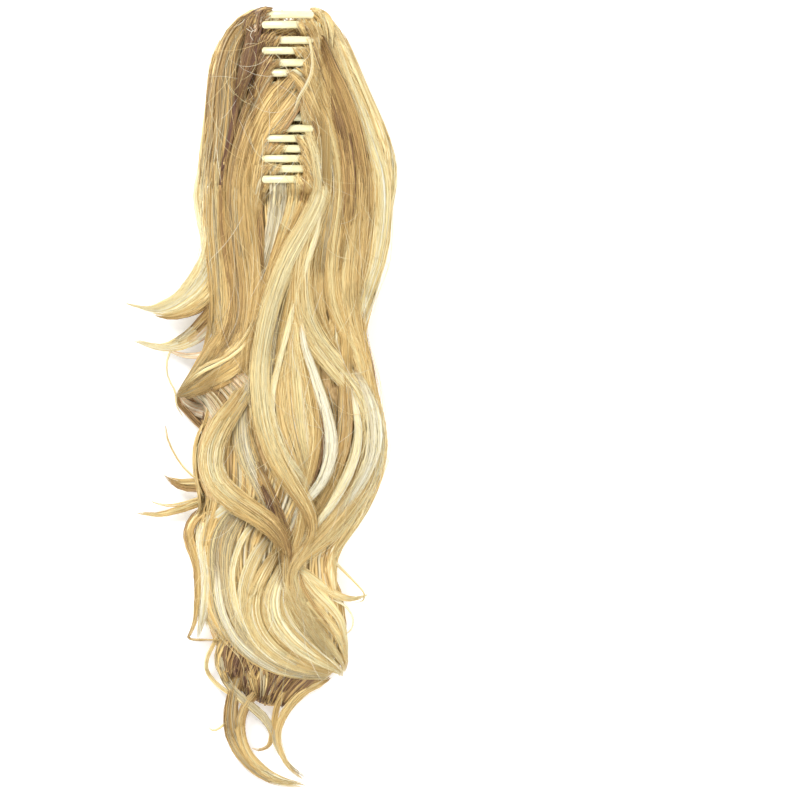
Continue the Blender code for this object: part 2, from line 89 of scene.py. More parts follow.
# Shares of each colour in a lock.
MIXES = {
    "pale": {"white": 24, "pale": 44, "light": 24, "gold": 8},
    "sunny": {"white": 4, "pale": 24, "light": 44, "gold": 24, "deep": 4},
    "gold": {"pale": 5, "light": 24, "gold": 46, "deep": 20, "honey": 5},
    "honey": {"light": 6, "gold": 22, "deep": 40, "honey": 24, "caramel": 8},
    "brown": {"deep": 18, "honey": 30, "caramel": 34, "brown": 18},
    "dark": {"caramel": 34, "brown": 46, "dark": 20},
    # painted shade: dark strands for hollows, the claw's inside and the faces between the lobes
    "hollow": {"honey": 8, "caramel": 22, "brown": 34, "dark": 24, "reddark": 12},
    "ash": {"ashlight": 24, "ashmid": 36, "ashdark": 14, "light": 10, "gold": 16},
    "grey": {"ashlight": 50, "white": 20, "ashmid": 22, "pale": 8},
    "left": {"gold": 20, "deep": 30, "honey": 20, "caramel": 6, "ashmid": 18, "ashdark": 6},
    "roots": {"rootdark": 48, "rootgold": 10, "caramel": 18, "brown": 14, "ashdark": 10},
    "rootg": {"rootgold": 36, "gold": 8, "deep": 22, "honey": 22, "ashmid": 12},
    "vroot": {"rootgold": 20, "deep": 20, "honey": 30, "caramel": 20, "ashmid": 10},
    # painted highlight: near-white strands where light catches the right side
    "cream": {"white": 46, "pale": 26, "ashlight": 22, "light": 6},
    "stray": {"white": 8, "pale": 18, "light": 28, "gold": 24, "ashlight": 10, "honey": 12},
    "leftdark": {"deep": 6, "honey": 22, "caramel": 30, "ashmid": 14, "ashdark": 18, "brown": 10},
    # painted shade: dark strands for the groove beside the claw and the gaps between locks
    "groove": {"caramel": 10, "brown": 26, "dark": 34, "reddark": 30},
    # painted sheen: near-white strands for the band where the hair shines
    "silver": {"white": 68, "pale": 20, "ashlight": 12},
    "peach": {"peach": 50, "ashlight": 30, "white": 20},
    "foldgrey": {"peach": 26, "ashlight": 18, "ashmid": 34, "caramel": 14, "ashdark": 8},
}
# What the edges of a lock turn to, where it rounds away from the light.
EDGES = {
    "pale": "sunny", "sunny": "gold", "gold": "honey", "honey": "brown", "brown": "dark", "left": "brown",
    "rootg": "roots", "vroot": "roots", "leftdark": "dark", "silver": "grey", "ash": "left", "roots": "dark", "grey": "ash",
}


# ---------------------------------------------------------------- height of the hair's top surface
def smoothstep(t):
    t = np.clip(t, 0, 1)
    return t * t * (3 - 2 * t)


def place(x, y, z_mm):
    return Vector(((x - X0) * UNIT, (Y0 - y) * UNIT, z_mm * MM))


def tree_of(*names):
    """One search tree of several of the construction's solids."""
    verts, faces = [], []
    for name in names:
        me = nodes[name].data
        base = len(verts)
        verts += [v.co.copy() for v in me.vertices]
        faces += [[base + i for i in p.vertices] for p in me.polygons]
    return BVHTree.FromPolygons(verts, faces)


SIDE_NODES = ("flick_upper", "flick_lower", "fold_lock", "flick_right", "tuft_upper", "tuft_lower",
              "end_curl_outer", "end_curl_inner")
BODY_TREE = tree_of("hair_left", "hair_right", "tail")
HAIR_TREE = tree_of("hair_left", "hair_right", "tail", *SIDE_NODES)

GRID = 2.0  # plan units between samples of the height map
GX0, GY0, GW, GH = 96.0, -4.0, 160, 404


def blurred(field, sigma):
    reach = int(3 * sigma) + 1
    k = np.exp(-0.5 * (np.arange(-reach, reach + 1) / sigma) ** 2)
    k /= k.sum()
    for axis in (0, 1):
        padded = np.pad(field, [(reach, reach) if a == axis else (0, 0) for a in (0, 1)], mode="edge")
        out = np.zeros_like(field)
        for i, share in enumerate(k):
            part = [slice(None), slice(None)]
            part[axis] = slice(i, i + field.shape[axis])
            out += share * padded[tuple(part)]
        field = out
    return field


def top_surface():
    """Height of the hair solids as seen from above, in mm, smoothed, and carried on a little outside them."""
    height = np.zeros((GH, GW))
    hit = np.zeros((GH, GW))
    down = Vector((0, 0, -1))
    for j in range(GH):
        for i in range(GW):
            found = HAIR_TREE.ray_cast(place(GX0 + i * GRID, GY0 + j * GRID, 200), down)[0]
            if found is not None:
                height[j, i], hit[j, i] = found.z / MM, 1.0
    # over the claw's room the hair would lie on the jaws' edges
    xs = GX0 + GRID * np.arange(GW)
    ys = GY0 + GRID * np.arange(GH)
    room = (np.abs(xs[None, :] - 289) < 33) & (ys[:, None] > 16) & (ys[:, None] < 188)
    height[room], hit[room] = 50.0, 1.0
    near = blurred(hit, 2.2)
    return np.where(near > 1e-4, blurred(height * hit, 2.2) / np.maximum(near, 1e-4), 6.0)


HEIGHT = top_surface()


def height_at(x, y):
    u = np.clip((x - GX0) / GRID, 0, GW - 1.001)
    v = np.clip((y - GY0) / GRID, 0, GH - 1.001)
    i, j = u.astype(int), v.astype(int)
    fu, fv = u - i, v - j
    return (
        HEIGHT[j, i] * (1 - fu) * (1 - fv) + HEIGHT[j, i + 1] * fu * (1 - fv)
        + HEIGHT[j + 1, i] * (1 - fu) * fv + HEIGHT[j + 1, i + 1] * fu * fv
    )


# ---------------------------------------------------------------- guides
def spline(rows, per=8):
    """Dense points on a Catmull-Rom curve through the rows."""
    p = np.asarray(rows, float)
    n = len(p)
    a, b = p[np.maximum(np.arange(n - 1) - 1, 0)], p[:-1]
    c, d = p[1:], p[np.minimum(np.arange(n - 1) + 2, n - 1)]
    t = (np.arange(per) / per)[:, None, None]
    q = 0.5 * (2 * b + (c - a) * t + (2 * a - 5 * b + 4 * c - d) * t**2 + (3 * b - a - 3 * c + d) * t**3)
    return np.vstack([q.transpose(1, 0, 2).reshape(-1, p.shape[1]), p[-1:]])


def even_smooth(values, reach):
    return np.convolve(np.pad(values, reach, mode="edge"), np.ones(2 * reach + 1) / (2 * reach + 1), "valid")


class Guide:
    """A lock's middle line: plan x and y, half width, lift; sampled by length."""

    def __init__(self, rows):
        dense = spline(rows)
        step = np.hypot(*np.diff(dense[:, :2], axis=0).T)
        self.s = np.concatenate([[0], np.cumsum(step)])
        self.rows = dense
        self.length = self.s[-1]
        even = np.linspace(0, self.length, max(int(self.length / 3), 8))
        x, y = np.interp(even, self.s, dense[:, 0]), np.interp(even, self.s, dense[:, 1])
        angle = np.unwrap(np.arctan2(np.gradient(y, even), np.gradient(x, even)))
        bend = even_smooth(np.abs(np.gradient(angle, even)), 2)
        self.even, self.angle = even, even_smooth(angle, 1)
        gap = np.clip(np.sqrt(8 * 0.24 / np.maximum(bend, 1e-5)), 4.0, 25.0)
        self.count = np.concatenate([[0], np.cumsum(np.diff(even) / (0.5 * (gap[1:] + gap[:-1])))])

    def samples(self, s0, s1, coarse=1.0):
        """Lengths along the guide between s0 and s1, closer where it bends."""
        c0, c1 = np.interp([s0, s1], self.even, self.count)
        n = max(int(math.ceil((c1 - c0) / coarse)), 3) + 1
        return np.interp(np.linspace(c0, c1, n), self.count, self.even)

    def at(self, s):
        r = self.rows
        cols = [np.interp(s, self.s, r[:, k]) for k in range(4)]
        a = np.interp(s, self.even, self.angle)
        return (*cols, -np.sin(a), np.cos(a))


def mixes_of(mix):
    """The stretches of a lock's colours: each a name and where it ends, as a share of the length."""
    return ((mix, 1.0),) if isinstance(mix, str) else mix


def pick_colours(mix, n):
    names = list(MIXES[mix])
    share = np.array([MIXES[mix][k] for k in names], float)
    return np.array([STRIP[k] for k in names])[RNG.choice(len(names), n, p=share / share.sum())]


# ---------------------------------------------------------------- how hair lies over the claw's teeth
# Plan y of each tooth and the stretch of x where it lies bare above the hair; elsewhere the hair covers it.
BARE = (
    (16.8, 270, 320), (26.9, 256, 298), (42.3, 281, 313), (52.7, 261, 294), (64.7, 281, 307), (74.9, 271, 288),
    (87.0, 0, 0), (96.9, 0, 0), (108.0, 0, 0), (119.0, 0, 0), (130.0, 293, 315), (140.0, 266, 296),
    (150.2, 285, 301), (160.0, 262, 299), (170.1, 281, 305), (180.5, 258, 296),
)


ROWS = np.array([row for row, _, _ in BARE])


def combed(x, y, shift=0.0):
    """Height in mm of hair that runs through the claw: over the teeth where they are covered, else under them."""
    u = np.abs(x - CLAW_X) * UMM
    clear = np.array([np.ones_like(x) if x1 == 0 else smoothstep((np.maximum(x0 - x, x - x1) + shift) / 5.0 + 0.6) for _, x0, x1 in BARE])
    k = np.clip(np.searchsorted(ROWS, y) - 1, 0, len(ROWS) - 2)
    f = smoothstep(((y - ROWS[k]) / (ROWS[k + 1] - ROWS[k]) - 0.22) / 0.56)
    i = np.arange(len(x))
    over = clear[k, i] * (1 - f) + clear[k + 1, i] * f
    low = np.interp(u, (0, 8, 16, 20, 24, 30), (58.4, 59.2, 58.2, 55.5, 53, 50.5))
    high = np.interp(u, (0, 5, 12, 16, 18.6, 20.8, 24, 30), (69.2, 69, 67.6, 65, 61.6, 56.5, 53.5, 51))
    return low + (high - low) * over


def settle(px, py, z, mode):
    if mode:
        near = np.clip((35 - np.abs(px - CLAW_X)) / 5, 0, 1) * np.clip((197 - py) / 9, 0, 1)
        z = z * (1 - near) + (combed(px, py, RNG.normal(0, 2.2)) + RNG.uniform(0, 1.6) + (2.2 if mode == "above" else 0)) * near
    return z


def closer(guide, s):
    """More samples where a lock passes the teeth."""
    fine = np.arange(s[0] + 2, s[-1] - 2, 4.6)
    x, y = guide.at(fine)[:2]
    inside = (np.abs(x - CLAW_X) < 36) & (y < 197)
    rest = s[1:-1]
    if inside.any():
        rest = rest[(rest < fine[inside][0] - 2) | (rest > fine[inside][-1] + 2)]
    return np.sort(np.concatenate([s[:1], rest, fine[inside], s[-1:]]))


# ---------------------------------------------------------------- strands, gathered by piece
PILES = {}
CUTS = {"right_out": "tail", "shell_right": "shell"}  # pieces that end where the side of the tail begins
CUT_Y = 292.0


def store(where, points, radii, tone, sub, v, normals):
    if len(points) > 1:
        PILES.setdefault(where, []).append((points, radii, tone, sub, v, normals))


def lay_changing(where, x, y, z_mm, radii_mm, share, mix, tones, normals=None):
    """One strand whose colour changes along the lock: share is the place of each point along the lock."""
    stretches = mixes_of(mix)
    cuts = [0]
    for _, end in stretches[:-1]:
        cuts.append(max(int(np.searchsorted(share, end + RNG.uniform(-0.06, 0.06))), cuts[-1]))
    cuts.append(len(x) - 1)
    v = np.linspace(0.015, 0.985, len(x))
    for k, tone in enumerate(tones):
        a, b = cuts[k], min(cuts[k + 1] + 1, len(x)) if k < len(tones) - 1 else len(x)
        if b - a > 1:
            lay(where, x[a:b], y[a:b], z_mm[a:b], radii_mm[a:b], tone, None if normals is None else normals[a:b], v[a:b])


def lay(where, x, y, z_mm, radii_mm, tone, normals=None, v=None):
    """One strand: plan x and y, height and half width in mm; with normals it is a flat band."""
    points = np.column_stack([(x - X0) * UNIT, (Y0 - y) * UNIT, np.maximum(z_mm, 0.8) * MM])
    radii = radii_mm * MM
    v = np.linspace(0.015, 0.985, len(points)) if v is None else v
    sub = RNG.integers(SUB)
    if where in CUTS:
        past = np.nonzero(y > CUT_Y)[0]
        k = past[0] if len(past) else len(y)
        cut = [None if normals is None else normals[:k + 1], None if normals is None else normals[k:]]
        if k > 0:
            store(where, points[:k + 1], radii[:k + 1], tone, sub, v[:k + 1], cut[0])
        store(CUTS[where], points[k:], radii[k:], tone, sub, v[k:], cut[1])
        return
    store(where, points, radii, tone, sub, v, normals)


def ends(t, root=0.35, tip=0.28, from_t=0.72):
    """Share of the full radius along a strand: thinner at both ends."""
    return np.minimum(1, root + 8 * t) * (1 - (1 - tip) * smoothstep((t - from_t) / (1 - from_t)))


def grow_lock(where, rows, n, mix, depth, thick=(0.13, 0.26), wiggle=1.0, stray=0.10, spread=0.07, tips=0.16,
              clumping=0.35, bands=None, absolute=False, mode=None, coarse=1.0):
    """A lock: flat bands under n fine strands. depth: half its thickness in mm. absolute: lifts are heights."""
    guide = Guide(rows)
    width = float(np.mean(guide.rows[:, 2]))

    def height(px, py, lift, rise):
        z = (lift if absolute else height_at(px, py) + lift) + rise
        z = np.convolve(np.pad(z, 1, mode="edge"), [0.25, 0.5, 0.25], "valid")
        return settle(px, py, z, mode)

    bands = max(3, int(round(2 * width * UMM / 1.7))) if bands is None else bands
    names = [name for name, _ in mixes_of(mix)]
    most = max(n, bands, 1)
    tones = np.array([pick_colours(name, most) for name in names])
    edge_tones = np.array([pick_colours(EDGES.get(name, name), most) for name in names])
    for j in range(bands):
        a = -0.92 + 1.84 * (j + 0.5) / bands + RNG.uniform(-0.5, 0.5) / bands
        s = guide.samples(guide.length * RNG.uniform(0, spread * 0.6), guide.length * (1 - RNG.uniform(0, tips * 0.7)), coarse)
        s = closer(guide, s) if mode else s
        x, y, w, lift, nx, ny = guide.at(s)
        t = (s - s[0]) / (s[-1] - s[0])
        wave = RNG.normal(0, 0.35) * np.sin(2 * np.pi * s / RNG.uniform(80, 180) + RNG.uniform(0, 6.28))
        off = a * w + wave * wiggle * np.minimum(1, w / 4)
        px, py = x + nx * off, y + ny * off
        z = height(px, py, lift, depth * (0.72 * math.sqrt(max(1 - a * a, 0.05)) - 0.12) + RNG.uniform(-0.3, 0.2))
        half = np.maximum(w * UMM * 0.92 / bands * 1.5, 0.3) * ends(t, 0.4, 0.12)
        tilt = 0.75 * a
        up = math.sqrt(1 - tilt * tilt)
        normals = np.column_stack([nx * tilt, -ny * tilt, np.full_like(s, up)])
        chosen = edge_tones[:, j] if abs(a) > 0.6 and width > 3 else tones[:, j]
        lay_changing(where, px, py, z, half, s / guide.length, mix, chosen, normals)

    clumps = max(3, n // 8)
    centre_a = RNG.uniform(-0.95, 0.95, clumps)
    centre_b = RNG.uniform(0.1, 1.0, clumps)
    clump_tone = np.array([pick_colours(name, clumps) for name in names])
    for i in range(n):
        a0 = RNG.uniform(-1, 1)
        b0 = RNG.uniform(0.0, 1.0) if RNG.random() < 0.3 else RNG.uniform(0.7, 1.05)
        k = int(np.argmin(np.abs(centre_a - a0) + 0.15 * np.abs(centre_b - b0)))
        loose = RNG.random() < stray
        s0 = guide.length * RNG.uniform(0, spread)
        s1 = guide.length * (1 - RNG.uniform(0, tips) ** 1.2)
        s = guide.samples(s0, s1, coarse)
        s = closer(guide, s) if mode else s
        x, y, w, lift, nx, ny = guide.at(s)
        t = (s - s[0]) / (s[-1] - s[0])
        c = clumping * smoothstep((s / guide.length - 0.05) / 0.9)
        a = a0 * (1 - c) + centre_a[k] * c
        b = b0 * (1 - c) + max(centre_b[k], b0) * c
        wave = np.zeros_like(s)
        for _ in range(2):
            wave += RNG.normal(0, 0.5) * np.sin(2 * np.pi * s / RNG.uniform(60, 190) + RNG.uniform(0, 6.28))
        amount = wiggle * (0.4 + 0.8 * t) * (2.8 if loose else 1.0)
        off = a * w * (RNG.uniform(1.0, 1.4) if loose else 1.0) + wave * amount * np.minimum(1, w / 4)
        px, py = x + nx * off, y + ny * off
        rise = depth * (b * np.sqrt(np.clip(1 - a * a, 0.04, 1)))
        z = height(px, py, lift, rise + (RNG.uniform(0.2, 1.6) if loose else 0))
        r = RNG.uniform(*thick) * (0.6 if loose else 1.0)
        chosen = clump_tone[:, k] if RNG.random() < 0.55 else tones[:, i]
        if abs(a0) > 0.72 and width > 3 and RNG.random() < 0.6:
            chosen = edge_tones[:, i]
        lay_changing(where, px, py, z, r * ends(t), s / guide.length, mix, chosen)


# ---------------------------------------------------------------- the locks
# Each: piece, colours, strands, depth mm, then rows of plan x, y, half width, lift mm.
COMB = {"mode": "comb"}  # runs through the claw's teeth
CLEAN = {"tips": 0.05, "wiggle": 0.6, "stray": 0.04}  # ends as one clean tip
LOCKS = (
    # left lobe, from its outer edge inwards
    ("left", (("leftdark", 0.36), ("ash", 0.5), ("pale", 1.0)), 60, 2.5, (
        (268, 11, 3, -1), (250, 19, 5, 0), (237, 31, 6, 0), (228, 48, 6, 0), (220, 66, 7, 0), (215, 88, 7, 0),
        (213, 117, 7, 0), (211, 142, 7, 0), (209, 168, 7, 0), (206, 190, 7, 0), (207, 215, 7, 0),
        (209, 240, 6, 0), (204, 262, 6, 0), (194, 281, 6, 0), (180, 297, 5, 0), (162, 306, 4, 0),
        (144, 308, 2, 0), (124, 303, 0.8, 0))),
    ("left", (("leftdark", 0.42), ("left", 1.0)), 100, 3.0, (
        (266, 12, 4, 0), (246, 23, 7, 1), (232, 42, 8, 2), (224, 66, 8, 2), (220, 92, 9, 1.5),
        (219, 120, 10, 1), (217, 150, 10, 1), (214, 180, 10, 1), (213, 210, 10, 1), (214, 240, 9, 1),
        (217, 272, 9, 1), (218, 302, 9, 1), (215, 330, 8, 1), (206, 358, 6, 1), (188, 386, 4, 1), (177, 396, 1.5, 0))),
    ("left", (("leftdark", 0.38), ("gold", 1.0)), 100, 3.0, (
        (266, 11, 3, 2), (249, 21, 4, 2), (239, 38, 4, 2), (232, 60, 5, 2), (229, 86, 6, 2), (228, 112, 8, 2), (225, 138, 10, 2),
        (222, 170, 10, 2), (221, 200, 9, 1), (222, 235, 9, 1), (225, 270, 9, 1), (227, 300, 9, 1),
        (222, 330, 8, 1), (209, 356, 7, 2), (193, 378, 5, 2), (178, 393, 2, 1))),
    # painted shade: dark strands down the groove beside the claw
    ("left", (("groove", 0.3), ("brown", 1.0)), 40, 1.2, (
        (241, 62, 2, 5), (239, 86, 3, 6), (236, 112, 3, 6), (230, 142, 3, 5), (224, 172, 3, 5), (222, 205, 3, 4), (224, 240, 3, 4),
        (229, 275, 3, 3), (231, 305, 3, 3), (223, 336, 3, 3), (206, 362, 3, 3), (186, 388, 2, 2))),
    ("left", "roots", 70, 2.5, (
        (284, 58, 2, 0), (279, 65, 4, 0), (270, 76, 6, 2), (259, 94, 8, 3), (248, 116, 8, 3), (239, 142, 8, 3),
        (233, 168, 8, 3), (230, 198, 8, 2), (232, 232, 8, 2), (236, 266, 8, 2), (239, 298, 8, 2),
        (235, 328, 7, 2), (222, 352, 6, 3), (204, 370, 5, 3), (183, 390, 3, 2), (177, 394, 1.5, 1)), COMB),
    ("left", (("vroot", 0.3), ("rootg", 0.45), ("rootg", 1.0)), 90, 2.5, (
        (292, 76, 2, 0), (284, 84, 5, 0), (273, 96, 7, 3), (262, 113, 8, 4), (251, 136, 9, 4),
        (243, 162, 9, 3), (239, 190, 9, 3), (240, 222, 9, 2), (244, 256, 9, 2), (248, 290, 9, 2),
        (246, 322, 8, 2), (238, 350, 8, 2), (226, 370, 7, 3), (206, 386, 6, 3), (186, 396, 4, 1), (178, 397, 2, 0)), COMB),
    ("left", (("vroot", 0.3), ("rootg", 0.45), ("rootg", 1.0)), 100, 2.5, (
        (297, 86, 3, 0), (290, 95, 6, 0), (280, 107, 8, 2), (268, 124, 9, 4), (258, 147, 9, 4),
        (251, 175, 9, 3), (249, 200, 8, 2), (252, 230, 8, 1), (255, 262, 8, 1), (255, 292, 8, 2),
        (250, 322, 8, 2), (246, 350, 7, 2), (243, 380, 7, 1), (241, 405, 7, -1)), COMB),
    ("left", "vroot", 60, 2.0, (
        (299, 92, 3, 0), (294, 103, 6, 0), (285, 116, 8, 2), (274, 131, 8, 4), (264, 150, 7, 3),
        (258, 178, 6, 2), (257, 205, 6, 1), (260, 235, 6, 1), (262, 262, 5, 1)), COMB),
    ("left", "roots", 50, 1.5, (
        (303, 98, 4, 0), (297, 108, 5, 0), (291, 118, 5, 2), (283, 130, 5, 4), (273, 146, 5, 3),
        (266, 164, 4, 2), (262, 186, 3, 1), (262, 210, 2, 1)), COMB),
    ("left", "ash", 26, 1.2, (
        (290, 112, 3, 0), (280, 124, 4, 0), (270, 138, 4, 2), (261, 156, 4, 4), (254, 180, 3, 3), (252, 206, 2, 2)), COMB),
    # pale hair that flares out at the lobe's lower left
    ("left", "pale", 40, 1.5, (
        (207, 140, 1.5, -6), (203, 160, 2.5, -4), (199, 178, 3.5, -3), (197, 196, 4.5, -3), (200, 216, 5, -2),
        (205, 238, 5, -1), (205, 258, 4, 0), (198, 276, 3, 0), (186, 292, 2, 0))),
    # under the claw's last tooth
    ("tail", "grey", 80, 2.5, (
        (278, 160, 8, 0), (279, 176, 9, 0), (279, 192, 9, 2), (277, 214, 9, 0), (271, 244, 8, 0), (263, 275, 7, 0),
        (256, 305, 7, 0), (250, 336, 7, 0), (246, 362, 7, 0), (242, 388, 7, -2), (239, 412, 8, -3),
        (240, 438, 9, -4), (248, 464, 10, -4), (260, 488, 9, -3), (270, 510, 7, -3)), COMB),
    ("tail", (("gold", 0.3), ("honey", 1.0)), 60, 2.5, (
        (292, 160, 6, 0), (294, 176, 7, 0), (295, 194, 7, 2), (291, 216, 7, 2), (282, 244, 7, 2), (273, 272, 7, 2),
        (264, 302, 7, 1), (256, 332, 6, 0), (250, 360, 6, -1)), COMB),
    ("tail", "dark", 30, 1.0, (
        (264, 178, 2, -1), (261, 205, 2.5, 1), (259, 228, 2.5, 3), (261, 250, 2, 3), (264, 276, 1.5, 2))),
    ("right_out", "honey", 30, 1.2, (
        (367, 152, 3, 0), (370, 168, 4.5, 0.5), (371, 184, 5, 0.5), (371, 202, 4.5, 0.5), (369, 224, 3, 0))),
    ("left", "left", 30, 1.2, (
        (222, 152, 3, 0), (221, 168, 4.5, 0.5), (220, 184, 5, 0.5), (220, 202, 4.5, 0.5), (221, 224, 3, 0))),
    ("left", "rootg", 30, 1.2, (
        (262, 176, 3, 2), (258, 190, 4, 3), (255, 204, 4, 3), (254, 222, 3, 2)), COMB),
    ("tail", "gold", 50, 1.5, (
        (306, 170, 4, 1), (308, 184, 6, 3), (307, 199, 7, 4), (302, 218, 7, 3), (294, 242, 6, 2))),
    # in the shadow beside the broad lock
    ("tail", "brown", 70, 2.0, (
        (292, 226, 4, 1), (286, 250, 6, 1), (277, 280, 7, 1), (271, 310, 6, 1), (268, 340, 6, 1), (268, 370, 6, 1),
        (270, 400, 6, 1), (275, 430, 6, 1), (284, 455, 5, 1), (294, 476, 4, 1)), {"wiggle": 1.6, "stray": 0.2}),
    ("tail", "ash", 50, 2.0, (
        (296, 236, 4, 2), (288, 264, 6, 2), (281, 292, 6, 2), (276, 322, 6, 2), (273, 350, 5, 2), (273, 380, 4, 2),
        (276, 408, 3, 2)), {"wiggle": 1.6, "stray": 0.2}),
    ("tail", "gold", 30, 2.0, (
        (330, 218, 4, 1), (326, 242, 5, 1), (321, 266, 5, 1), (319, 292, 5, 1), (323, 320, 5, 1), (334, 348, 5, 1),
        (346, 372, 4, 1))),
    # between the left curl and the broad lock
    ("tail", "ash", 90, 2.5, (
        (248, 372, 6, 0), (243, 396, 8, -1), (240, 418, 10, -2), (241, 442, 11, -2), (247, 466, 11, -2),
        (258, 489, 9, -2), (269, 508, 7, -2), (275, 526, 5, -2), (280, 545, 4, -2))),
    ("tail", "ash", 70, 2.5, (
        (244, 396, 5, 0), (242, 420, 8, 0), (244, 446, 11, 0), (252, 468, 11, 0), (263, 490, 9, 0), (273, 510, 7, 0),
        (281, 530, 6, 0), (287, 550, 5, 0), (290, 570, 4, 0)), {"wiggle": 1.5, "stray": 0.2}),
    ("tail", "brown", 70, 2.0, (
        (256, 462, 4, 1), (265, 486, 7, 1), (274, 506, 7, 1), (282, 526, 7, 1), (288, 544, 7, 1), (290, 560, 6, 1),
        (291, 576, 4, 1)), {"wiggle": 1.5, "stray": 0.2}),
    # painted shade: dark strands in the gap between the locks
    ("tail", "groove", 70, 1.5, (
        (262, 484, 2, 2), (269, 500, 4, 3), (275, 516, 5, 3), (280, 532, 5, 3), (285, 548, 4, 3), (288, 560, 2, 3)),
     {"wiggle": 1.4, "stray": 0.2}),
    ("tail", "grey", 26, 1.2, (
        (246, 440, 3, 1), (249, 458, 4, 1), (256, 474, 4, 1), (264, 490, 4, 1), (272, 506, 3, 1)), {"wiggle": 2.0, "stray": 0.3}),
    # the S-shaped lock that comes out under the broad one
    ("tail", (("ash", 0.13), ("gold", 0.24), ("sunny", 0.40), ("gold", 0.48), ("honey", 0.56), ("brown", 0.66), ("brown", 0.72),
              ("gold", 0.85), ("sunny", 1.0)),
     150, 4.5, (
        (262, 345, 5, -3), (256, 368, 6, -2), (248, 388, 8, 1), (236, 406, 10, 4), (223, 424, 12, 5),
        (214, 444, 12.5, 5), (212, 464, 12.5, 5), (219, 483, 12, 5), (235, 498, 11.5, 6), (254, 511, 11, 6),
        (270, 523, 10, 6), (281, 536, 8, 5), (287, 551, 6, 4), (287, 568, 6, 3), (288, 588, 7, 3),
        (296, 608, 7, 2), (308, 628, 6, 2), (322, 646, 4, 1), (334, 660, 2, 0))),
    ("tail", (("honey", 0.15), ("gold", 0.6), ("honey", 0.8), ("brown", 1.0)), 50, 2.0, (
        (246, 386, 3, 4), (233, 406, 3, 7), (219, 424, 3, 8), (208, 444, 3, 7), (204, 464, 3, 6), (210, 486, 3, 6),
        (226, 504, 3, 7), (248, 518, 3, 7), (266, 531, 3, 7), (279, 545, 3, 6), (284, 560, 3, 4))),
    # right lobe and what runs on from it
    # painted highlight: the cream stretches of these two locks light up the lobe's right side
    ("right_out", (("sunny", 0.5), ("cream", 0.68), ("sunny", 1.0)), 110, 2.5, (
        (313, 12, 3, -1), (322, 20, 5, 0), (331, 38, 6, 0), (339, 58, 6, 0), (350, 84, 6, 0), (360, 110, 6, 0),
        (369, 136, 7, 0), (378, 161, 8, 0), (382, 185, 9, 0), (382, 205, 10, 0), (380, 237, 10, 0),
        (375, 266, 9, 0), (364, 302, 7, 0), (357, 334, 6, 0), (360, 362, 6, 0), (366, 395, 7, 0),
        (374, 420, 8, 0), (377, 442, 9, 0), (374, 465, 9, 0), (365, 490, 9, 0), (350, 513, 8, 0),
        (332, 534, 8, 1), (314, 549, 7, 2), (299, 560, 6, 2), (291, 573, 6, 2),
        (290, 590, 6, 1), (298, 610, 7, 1), (314, 630, 7, 0), (331, 648, 6, 0), (341, 662, 3, 0))),
    ("right_out", (("sunny", 0.16), ("pale", 0.5), ("cream", 0.75), ("pale", 1.0)), 60, 2.0, (
        (316, 13, 2, 1), (327, 24, 3, 1), (336, 42, 4, 1), (343, 62, 5, 1), (354, 90, 5, 1), (365, 118, 6, 1),
        (374, 144, 6, 1), (382, 168, 6, 1), (385, 190, 6, 1), (385, 214, 6, 1), (382, 240, 6, 1), (376, 268, 5, 1),
        (366, 298, 4, 1), (360, 328, 4, 1), (364, 356, 4, 1), (371, 384, 5, 1), (378, 412, 5, 1),
        (381, 440, 5, 1), (378, 464, 5, 1), (369, 488, 5, 1), (355, 511, 5, 1), (337, 532, 5, 1),
        (319, 547, 4, 2), (303, 559, 4, 2))),
    ("right_out", (("brown", 0.3), ("honey", 0.55), ("brown", 1.0)), 100, 2.0, (
        (314, 22, 3, 3), (321, 42, 5, 4), (330, 66, 6, 4.5), (342, 92, 7, 4.5), (351, 116, 7, 4.5), (358, 142, 7, 4.5),
        (363, 170, 6, 4), (364, 200, 6, 3), (362, 230, 7, 2), (359, 258, 7, 1), (357, 288, 7, 1), (358, 316, 6, 1),
        (362, 342, 6, 1), (367, 370, 7, 1), (370, 396, 8, 1), (371, 420, 8, 1), (368, 446, 8, 1),
        (360, 470, 8, 1), (348, 494, 8, 2), (332, 516, 8, 2), (314, 534, 7, 3), (299, 549, 6, 4), (291, 563, 5, 4))),
    ("right_out", (("gold", 0.08), ("honey", 0.32), ("gold", 1.0)), 110, 3.0, (
        (309, 32, 4, 4), (314, 56, 6, 5), (322, 82, 7, 5), (332, 106, 8, 4), (341, 130, 8, 3), (349, 156, 9, 2),
        (354, 182, 9, 2), (356, 208, 9, 2), (353, 236, 9, 2), (349, 264, 9, 2), (348, 292, 9, 2),
        (351, 320, 9, 2), (358, 344, 8, 2), (364, 368, 8, 2), (367, 394, 8, 2), (364, 422, 8, 1),
        (358, 448, 8, 1), (349, 473, 8, 1), (336, 496, 8, 1), (321, 516, 7, 1), (307, 534, 7, 2),
        (297, 550, 6, 3), (291, 565, 6, 3))),
    ("right_in", "gold", 100, 3.0, (
        (306, 48, 3, 4), (311, 74, 6, 4), (318, 98, 7, 4), (327, 120, 8, 4), (335, 144, 8, 3), (340, 170, 9, 2),
        (341, 196, 9, 2), (338, 224, 9, 2), (334, 252, 9, 2), (333, 280, 9, 2), (337, 308, 10, 2),
        (347, 332, 10, 2), (358, 354, 9, 2), (366, 378, 9, 2), (372, 406, 9, 2), (374, 434, 9, 1),
        (369, 460, 9, 1), (357, 485, 9, 1), (341, 507, 9, 1), (324, 526, 8, 2), (307, 542, 7, 3),
        (296, 556, 6, 4), (290, 570, 6, 3)), COMB),
    ("right_in", (("vroot", 0.4), ("rootg", 1.0)), 70, 2.5, (
        (297, 84, 2, 0), (303, 94, 5, 0), (310, 108, 7, 2), (317, 126, 8, 4), (323, 146, 8, 4),
        (327, 168, 8, 4), (329, 194, 8, 3), (326, 222, 8, 2), (321, 250, 8, 2), (318, 280, 8, 2)), COMB),
    ("right_in", "roots", 50, 2.0, (
